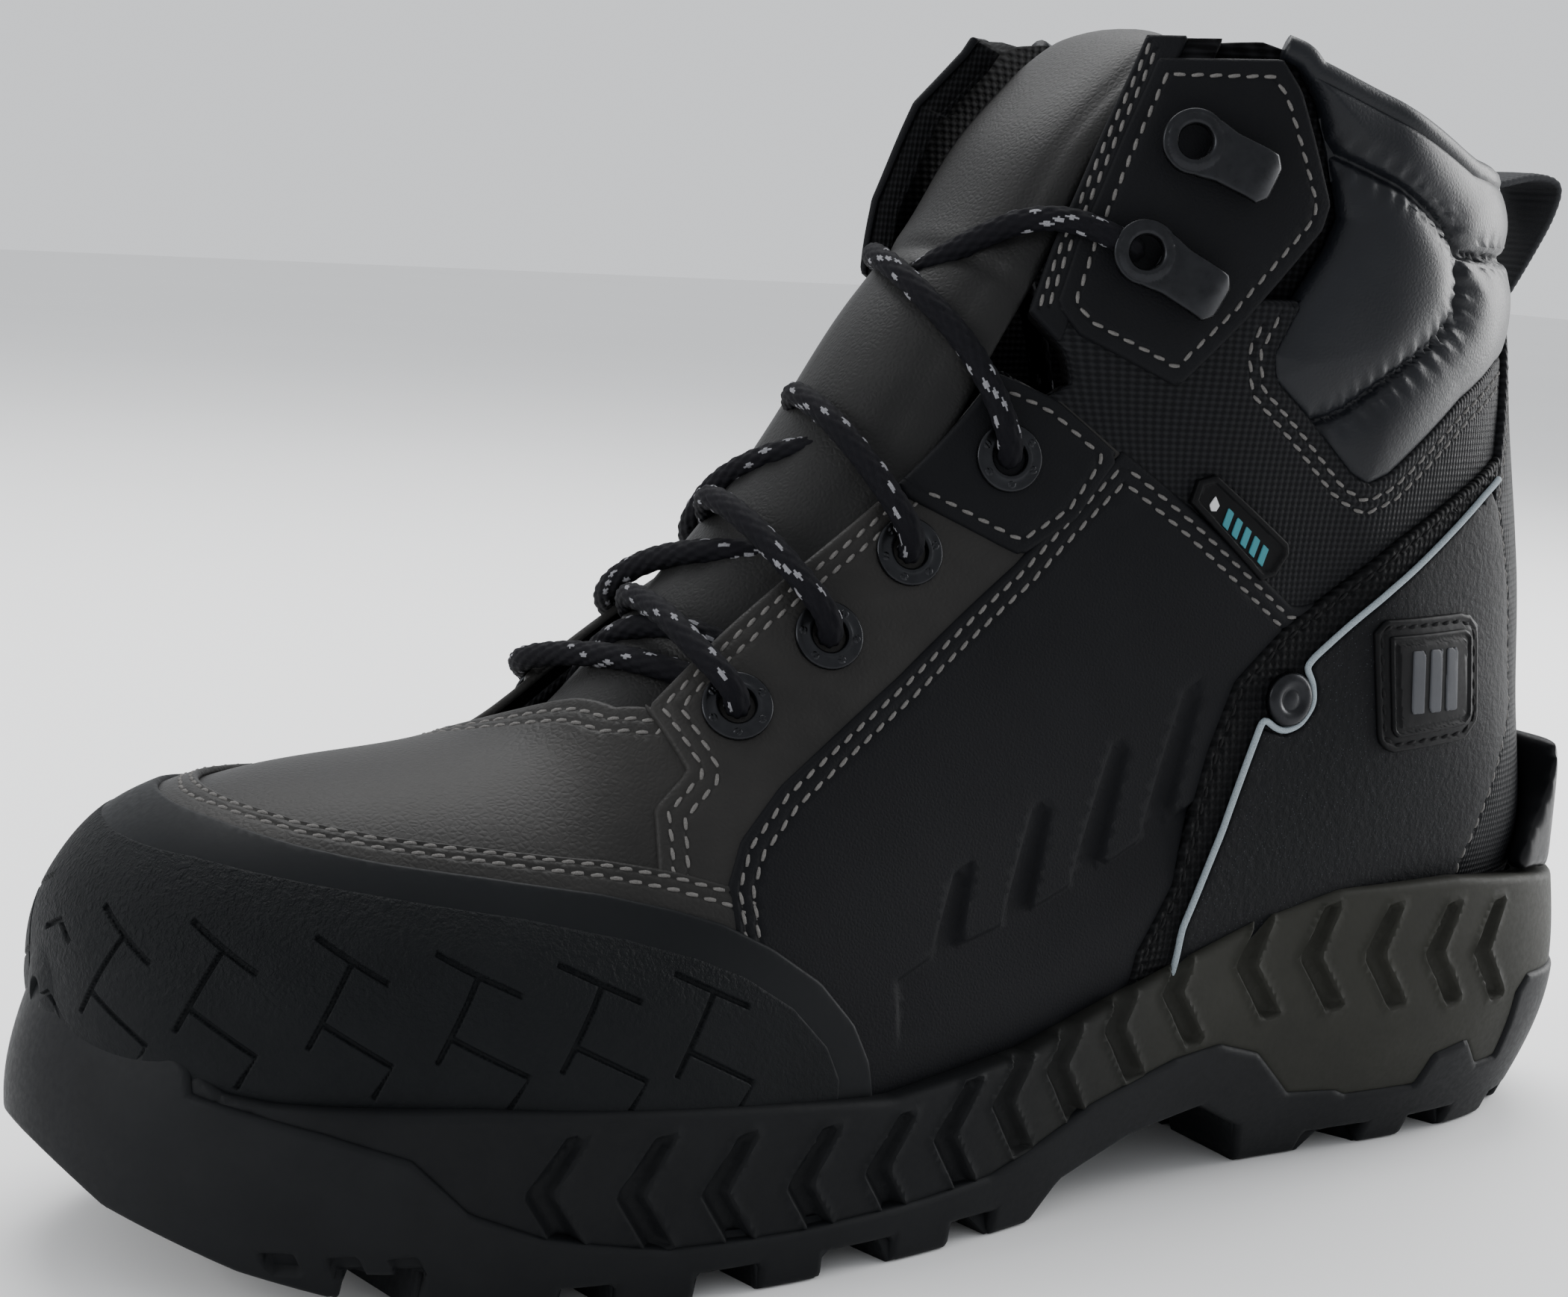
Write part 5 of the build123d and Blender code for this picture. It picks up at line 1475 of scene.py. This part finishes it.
# ---------------------------------------------------------------- the tongue
# Centre line of the tongue's face in side view (x, z), and the half width there.
TONGUE_LINE = [(86, 70), (73, 80), (62, 90), (47, 106.5), (33.5, 122), (20.5, 140), (8.5, 157.5),
               (-4, 172), (-14, 186.5), (-25, 198), (-35.5, 206.5), (-41, 209.5)]
TONGUE_HALF = [18, 20, 21.5, 22.5, 23, 23, 22.5, 21.8, 21.4, 21.5, 21, 18]
TONGUE_THICK = [3, 4.5, 5.5, 6, 6, 6, 6, 6, 6.5, 7, 7, 4]
TONGUE_FALL = [7, 9, 11.5, 12.5, 12.5, 11.5, 9.5, 6.5, 4.2, 3.0, 2.4, 2.0]
TONGUE_SEAMS = [44.0, 131.0]      # distances along the line
TONGUE_Y = -0.7


def squared(wave, power):
    """A wave of the same sign, squared off by a power below one."""
    return np.sign(wave) * np.abs(wave) ** power


def soft_tube(name, points, look, body):
    """A closed piece from rings of points."""
    piece = new_object(name, placed(points.reshape(-1, 3)), tube_faces(*points.shape[:2]),
                       LOOK[look], body)
    mesh = bmesh.new()
    mesh.from_mesh(piece.data)
    bmesh.ops.recalc_face_normals(mesh, faces=mesh.faces)
    mesh.to_mesh(piece.data)
    mesh.free()
    piece.data.shade_smooth()
    return piece


def build_tongue():
    """One padded tongue from under the vamp to its free top, blended over its fold."""
    rows, across = 150, 56
    knots = np.array(TONGUE_LINE, float)
    stations = distances_along(knots)
    at = np.linspace(0, stations[-1], rows)
    weights = spline_weights(stations, at)
    line = weights @ knots
    half, thick, fall = (weights @ np.array(v, float) for v in (TONGUE_HALF, TONGUE_THICK, TONGUE_FALL))
    slope = directions(line)
    out = np.stack([slope[:, 1], -slope[:, 0]], axis=1)
    out *= np.where(out[:, :1] < 0, -1, 1)
    angle = 2 * pi * np.arange(across) / across
    width, loft = squared(np.cos(angle), 0.55), squared(np.sin(angle), 0.75)
    points = np.zeros((rows, across, 3))
    end = np.clip((stations[-1] - at) / 7, 0, 1)
    rounding = np.sqrt(1 - (1 - end) ** 2)
    for i in range(rows):
        y = half[i] * width * (0.72 + 0.28 * rounding[i])
        crown = thick[i] / 2 * loft * (0.25 + 0.75 * rounding[i])
        seam = 0.5 * np.exp(-((np.abs(y) - half[i] * 0.78) / 1.3) ** 2)
        quilting = 0.0
        for mark in TONGUE_SEAMS:
            quilting += 0.7 * np.exp(-((at[i] - mark) / 1.6) ** 2)
        drop = fall[i] * (np.abs(width)) ** 2.4 + thick[i] / 2
        height = crown - drop - np.where(loft > 0, seam + quilting, 0)
        points[i, :, 0] = line[i, 0] + out[i, 0] * height
        points[i, :, 1] = y + TONGUE_Y
        points[i, :, 2] = line[i, 1] + out[i, 1] * height
    piece = soft_tube("tongue_pad", points, "tongue", None)
    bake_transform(piece)
    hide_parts("tongue", "tongue_upper", "tongue_top", "tongue_seam")


# ---------------------------------------------------------------- webbing pull loop
LOOP_LINE = [(-122.5, 184.2), (-133, 185.8), (-142.5, 187.0), (-145.9, 185.6), (-145.6, 181.5),
             (-142.0, 174.5), (-137.0, 166.8), (-131.8, 159.4)]
LOOP_TOP_LINE = [(-108, 183.6), (-114, 184.0), (-120, 184.6), (-124.6, 185.2)]
LOOP_FOOT_LINE = [(-126.5, 152), (-128.0, 156), (-130.2, 160.0), (-131.0, 161.5)]
WEBBING = {"width": 16.6, "thick": 1.4, "step": 0.35, "sides": 44}


def webbing_strip(name, line, body):
    """A strip of ribbed webbing that follows a side-view line."""
    knots = np.array([(x, 0.0, z) for x, z in line], float)
    stations = distances_along(knots)
    at = np.arange(0, stations[-1], WEBBING["step"])
    path = spline_weights(stations, at) @ knots
    slope = directions(path)
    out = np.stack([-slope[:, 2], slope[:, 1], slope[:, 0]], axis=1)
    angle = 2 * pi * np.arange(WEBBING["sides"]) / WEBBING["sides"]
    y = squared(np.cos(angle), 0.35) * WEBBING["width"] / 2
    z = squared(np.sin(angle), 0.6) * WEBBING["thick"] / 2
    ribs = 0.16 * np.abs(np.sin(pi * at / 1.5))[:, None] * np.sign(z)[None]
    cords = 0.07 * np.cos(2 * pi * y / 1.3)[None] * np.sign(z)[None]
    height = z[None] + ribs + cords
    points = path[:, None] + out[:, None] * height[:, :, None]
    points[:, :, 1] += y[None]
    return soft_tube(name, points, "webbing", body)


def build_loop():
    loop = webbing_strip("pull_loop_webbing", LOOP_LINE, None)
    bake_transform(loop)
    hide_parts("pull_loop")
    top = webbing_strip("loop_tab_top", LOOP_TOP_LINE, "boot")
    webbing_strip("loop_tab_foot", LOOP_FOOT_LINE, "boot")
    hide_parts("pull_loop_tabs")


# ---------------------------------------------------------------- leather and cloth panels
def slot_relief():
    """Four slanted slots pressed into the quarter, which open into a field that fades out."""
    slots = either(*[inside(slot) for slot in SLOTS], inside(LOWER_FIELD))
    line = np.array(SLOT_LINE[::-1])

    def rise(value, points):
        under = np.interp(points[:, 0], line[:, 0], line[:, 1]) - points[:, 2]
        fade = np.clip(1 - under / 12, 0, 1) * np.clip(1.15 + under / 34, 0.4, 1)
        return -1.25 * eased(value / 1.3) * fade

    return (slots, (0.0, 0.4, 0.9, 1.3), rise)


def build_vamp():
    panel("vamp_leather", [inside(ahead(VAMP_EDGE), 7.0), OFF_THROAT, ABOVE_SOLE,
                           outside(below(BUMPER_EDGE), 4.0)],
          -0.9, 1.8, "smooth", replaces=["vamp"], rows=[(OFF_THROAT, 2.6), (OFF_THROAT, 4.9)])


# The bumper's tread marks: place along it in the round view, and height.
BUMPER_MARKS = [(62.4, 50.9), (81.3, 53.2), (100, 55.1), (121, 57), (143, 57.6), (161.5, 57),
                (180, 56.5)]
MARK_HALF = 0.55


def tread_mark(place, height):
    """One branched groove of the toe bumper, from the centre of its top bar, in the round view."""
    lines = [[(6.7, 3.1), (-6.5, -3.1)], [(0, -0.3), (6.6, -13)],
             [(4.3, -9.0), (-7.3, -15.2), (-4.2, -20.2)]]
    return either(*[inside(widened([(place + x, height + z) for x, z in line], MARK_HALF), plane="round")
                    for line in lines])


def build_toe():
    rubber_zone = inside(below(BUMPER_EDGE))
    band = inside(below(BUMPER_EDGE), BAND_WIDTH)
    panel("toe_band", [band, outside(below(BUMPER_EDGE), 3.0), ABOVE_SOLE],
          0.5, 1.6, "smooth", rows=[(band, offset) for offset in (1.2, 3.2, 5.2)])
    panel("toe_bumper_band", [rubber_zone, outside(below(BUMPER_BAND), 1.2), ABOVE_SOLE],
          1.5, 2.4, "bumper_band", edge=0.7)
    marks = either(*[tread_mark(place, height) for place, height in BUMPER_MARKS])
    panel("toe_bumper_rubber", [inside(below(BUMPER_BAND)), ABOVE_SOLE],
          1.7, 2.6, "bumper", edge=0.6, replaces=["toe_bumper"],
          features=[pressed(marks, 0.75, 0.3)], fine=2)


FLAP_STRIP = 3.8         # the stitched leather edge of each flap
FLAP_CORE = 15           # the padded front of each flap, between leather and lining


def build_sides():
    for side in SIDES:
        half = on_half(side)
        front_edge = inside(behind(VAMP_EDGE))
        stay = [half, front_edge, inside(ahead(EYESTAY_SEAM), 6.0), OFF_THROAT, OFF_NOTCH,
                inside(below(ANKLE_SEAM)), ABOVE_SOLE, outside(below(BUMPER_EDGE), 4.0)]
        panel("lace_stay_leather_" + side, stay, 0.1, 2.2, "smooth",
              replaces=["lace_stay_" + side], edge=1.1,
              rows=[(all_of(front_edge, OFF_THROAT), 2.4), (all_of(front_edge, OFF_THROAT), 4.8)])
        seam = inside(behind(EYESTAY_SEAM))
        top = inside(below(ANKLE_SEAM))
        panel("quarter_leather_" + side,
              [half, seam, top, ABOVE_SOLE, OFF_NOTCH, inside(ahead(HEEL_EDGE), 5.0),
               outside(below(BUMPER_EDGE), 4.0)],
              0.75, 2.2, "nubuck", replaces=["quarter_" + side], features=[slot_relief()],
              rows=[(seam, 1.9), (seam, 4.2), (top, 2.0), (top, 4.3)])
        patch = inside(EYELET_PATCH[side])
        panel("eyelet_patch_leather_" + side, [half, patch, OFF_THROAT, OFF_NOTCH, top],
              0.95, 1.6, "nubuck", replaces=["eyelet_patch_" + side], rows=[(patch, 2.4)])
        off_collar = outside(behind(COLLAR_PAD_EDGE))
        flap = all_of(OFF_THROAT, UNDER_TOP)
        panel("ankle_weave_" + side,
              [half, inside(above(ANKLE_SEAM), 4.0), outside(behind(COLLAR_PAD_EDGE), 1.2), flap,
               OFF_NOTCH, inside(ahead(BACK_STAY_EDGE), 4.0)],
              0.0, 2.2, "ankle", edge=1.1,
              rows=[(flap, 2.2), (flap, 4.4), (off_collar, 2.0), (off_collar, 4.2)],
              replaces=["ankle_panel"] if side == "lateral" else [])
        strip_end = outside(below(ANKLE_SEAM))
        panel("flap_strip_leather_" + side,
              [half, strip_end, flap, OFF_NOTCH, lambda sheet: FLAP_STRIP * 2 - OFF_THROAT(sheet)],
              0.5, 1.7, "nubuck", edge=0.8,
              rows=[(OFF_THROAT, FLAP_STRIP * 0.36), (OFF_THROAT, FLAP_STRIP * 0.76)], fine=1)
        panel("flap_core_mesh_" + side,
              [half, strip_end, UNDER_TOP, back_from_throat(0.5), OFF_NOTCH,
               lambda sheet: FLAP_CORE - OFF_THROAT(sheet)],
              -0.9, 5.0, "mesh", edge=0.8)
        hook_patch = all_of(inside(HOOK_PATCH), back_from_throat(FLAP_STRIP))
        panel("hook_patch_leather_" + side, [half, hook_patch, UNDER_TOP],
              1.1, 1.7, "nubuck", replaces=["hook_patch_" + side], rows=[(all_of(hook_patch, flap), 3.0)])


def build_heel():
    heel = inside(behind(HEEL_EDGE))
    piping = inside(behind(PIPING_LINE))
    off_stay = inside(ahead(BACK_STAY_EDGE))
    for side in SIDES:
        half = on_half(side)
        panel("heel_binding_cloth_" + side, [half, heel, outside(behind(PIPING_LINE), 1.5), ABOVE_SOLE,
                                             inside(ahead(BACK_STAY_EDGE), 2.0)],
              1.3, 2.2, "binding", replaces=["heel_binding_" + side],
              thread="dark_thread", rows=[(heel, 2.0)], fine=1)
        panel("heel_cloth_" + side, [half, inside(behind(PIPING_LINE), -0.7), ABOVE_SOLE,
                                     inside(ahead(BACK_STAY_EDGE), 2.0)],
              1.7, 2.4, "heel", replaces=["heel_panel_" + side])
        bead("piping_" + side, piping, [half, ABOVE_SOLE, off_stay], 0.62, 1.75, "piping",
             ["reflective_piping_" + side])
        badge = inside(HEEL_BADGE)
        panel("badge_" + side, [half, badge], 2.5, 1.2, "badge", edge=0.6, thread="dark_thread",
              rows=[(badge, 1.5)], replaces=["heel_badge_" + side], fine=1)
        frame_groove = (badge, (3.6, 4.0, 4.6, 5.0),
                        lambda value, points: -0.35 * ((value > 3.8) & (value < 4.8)))
        panel("badge_plate_" + side, [half, inside(HEEL_BADGE, -3.0)], 3.1, 0.9, "badge", edge=0.5,
              features=[frame_groove], fine=2)
        marks = either(*[inside([(x, 99), (x - 3.2, 99), (x - 4.6, 87), (x - 1.4, 87)])
                         for x in (-87, -91.6, -96.2)])
        panel("badge_mark_" + side, [half, marks], 3.35, 0.7, "badge_mark", edge=0.25, fine=2)
    panel("back_stay_weave", [inside(behind(BACK_STAY_EDGE)), ABOVE_SOLE,
                              inside(below([(-90, 160), (-200, 160)]))],
          1.5, 2.2, "ankle", replaces=["back_stay"], rows=[(inside(behind(BACK_STAY_EDGE)), 2.2)])


def build_collar():
    """The padded collar: puffs between two gathered seams that meet towards the back."""
    pad = inside(behind(COLLAR_PAD_EDGE))
    seams = [off_line(line) for line in COLLAR_SEAMS]

    def to_seam(sheet):
        return np.min([measure(sheet.points)[0] for measure in seams], axis=0)

    def gathers(value, points):
        places = [measure(points) for measure in seams]
        first = places[0][0] <= places[1][0]
        place = np.where(first, places[0][1], places[1][1])
        ripple = np.cos(2 * pi * place / 3.4 + 1.3 * np.sin(place / 4.1))
        bare = first | (points[:, 0] < -96)
        return (-1.5 * np.exp(-(value / 0.8) ** 2) - 2.2 * np.exp(-(value / 4.2) ** 1.5)
                + 0.3 * ripple * np.exp(-(value - 1.8) ** 2 / 3.0) * bare)

    swell = (all_of(pad, UNDER_TOP), (3.5, 6.0), lambda value, points: 3.3 * (1 - np.exp(-value / 6)))
    cushion = panel("collar_cushion", [pad, UNDER_TOP], -0.6, 3.0, "padded", edge=2.2,
                    replaces=["collar_pad"], fine=1,
                    features=[(to_seam, (0.45, 1.0, 2.0), gathers), swell])
    bead("collar_roll", UNDER_TOP, [inside(behind(COLLAR_PAD_EDGE), 1.0)], 2.3, -2.1, "padded")


def label_point(along, across):
    """A place on the side label, along it from its upper end and across it, both 0 to 1."""
    return (-40.8 - 16.4 * along + 3.6 * across, 130.4 - 13.4 * along - 5.4 * across)


def build_label():
    half = on_half("lateral")
    label = inside(SIDE_LABEL)
    field = pressed(label, 0.5, 0.4, start=1.0)
    panel("side_label_frame", [half, label], 1.6, 1.4, "badge", edge=0.5,
          replaces=["side_label"], features=[field], fine=2)
    bars = [inside([label_point(a, 0.26), label_point(a + 0.07, 0.26), label_point(a + 0.11, 0.74),
                    label_point(a + 0.04, 0.74)]) for a in (0.28, 0.40, 0.52, 0.64, 0.76)]
    panel("side_label_bars", [half, either(*bars)], 1.35, 0.6, "label_teal", edge=0.12, fine=3)
    x, z = label_point(0.15, 0.5)
    drop = [(x - 0.2, z + 1.6), (x + 0.9, z), (x + 0.5, z - 1.1), (x - 0.5, z - 1.1), (x - 1.1, z - 0.1)]
    panel("side_label_drop", [half, inside(drop)], 1.35, 0.6, "label_white", edge=0.12, fine=3)


def build_lining():
    off_footbed = inside(above([(200, 37), (-200, 37)]))
    panel("collar_lining_mesh", [UNDER_TOP, back_from_throat(0.5), OFF_NOTCH, off_footbed],
          -LINING_DEPTH, 1.6, "mesh", edge=0.6, replaces=["collar_lining", "bootie_lining"])


build_sole()
softened("heel_kick_ledge", "heel_ledge", 0.0011, "ledge", passes=26)
softened("footbed", "footbed_cushion", 0.0014, "footbed")
for lined in ("gusset_lateral", "gusset_medial", "toe_liner", "heel_liner"):
    softened(lined, lined + "_mesh", 0.0008, "mesh", passes=2)
for build in (build_tongue, build_loop, build_eyelets, build_hooks, build_rivets, build_vamp, build_toe,
              build_sides, build_heel, build_collar, build_label, build_lining):
    build()
INNER_LOOKS = {"bottom_filler": "board", "lasting_board": "board", "heel_stiffener": "stiffener",
               "safety_toe_cap": "composite", "shank": "steel", "tongue_seam": "tongue"}
for node, look in INNER_LOOKS.items():
    inner_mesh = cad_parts[node].data
    inner_mesh.materials.clear()
    inner_mesh.materials.append(LOOK[look])


# ---------------------------------------------------------------- floor and lights
def area_light(name, place, aim, size, power):
    light = bpy.data.lights.new(name, "AREA")
    light.shape = "RECTANGLE"
    light.size, light.size_y = size
    light.energy = power
    lamp = bpy.data.objects.new(name, light)
    bpy.context.scene.collection.objects.link(lamp)
    lamp.location = place
    lamp.rotation_euler = (Vector(aim) - Vector(place)).to_track_quat("-Z", "Y").to_euler()


def build_studio():
    floor_mesh = bpy.data.meshes.new("floor")
    floor_mesh.from_pydata([(-4, -4, 0), (4, -4, 0), (4, 4, 0), (-4, 4, 0)], [], [(0, 1, 2, 3)])
    floor = bpy.data.objects.new("floor", floor_mesh)
    bpy.context.scene.collection.objects.link(floor)
    n = Nodes("floor_paper")
    floor_mesh.materials.append(n.finish(
        Base_Color=n.mix(n.noise(3.0), shade(.82, .82, .82), shade(.86, .86, .86)), Roughness=0.9))
    world = bpy.data.worlds.new("studio")
    world.use_nodes = True
    world.node_tree.nodes["Background"].inputs["Color"].default_value = (0.95, 0.97, 1.0, 1)
    world.node_tree.nodes["Background"].inputs["Strength"].default_value = 1.0
    bpy.context.scene.world = world
    area_light("top_back", (-0.25, -0.55, 1.15), (0.02, 0, 0.1), (1.3, 0.8), 20)
    area_light("heel_side", (-1.15, 0.05, 0.4), (-0.08, 0.02, 0.15), (0.7, 0.8), 18)
    area_light("toe_side", (1.2, -0.15, 0.5), (0.08, 0, 0.06), (0.5, 0.6), 8)


build_studio()
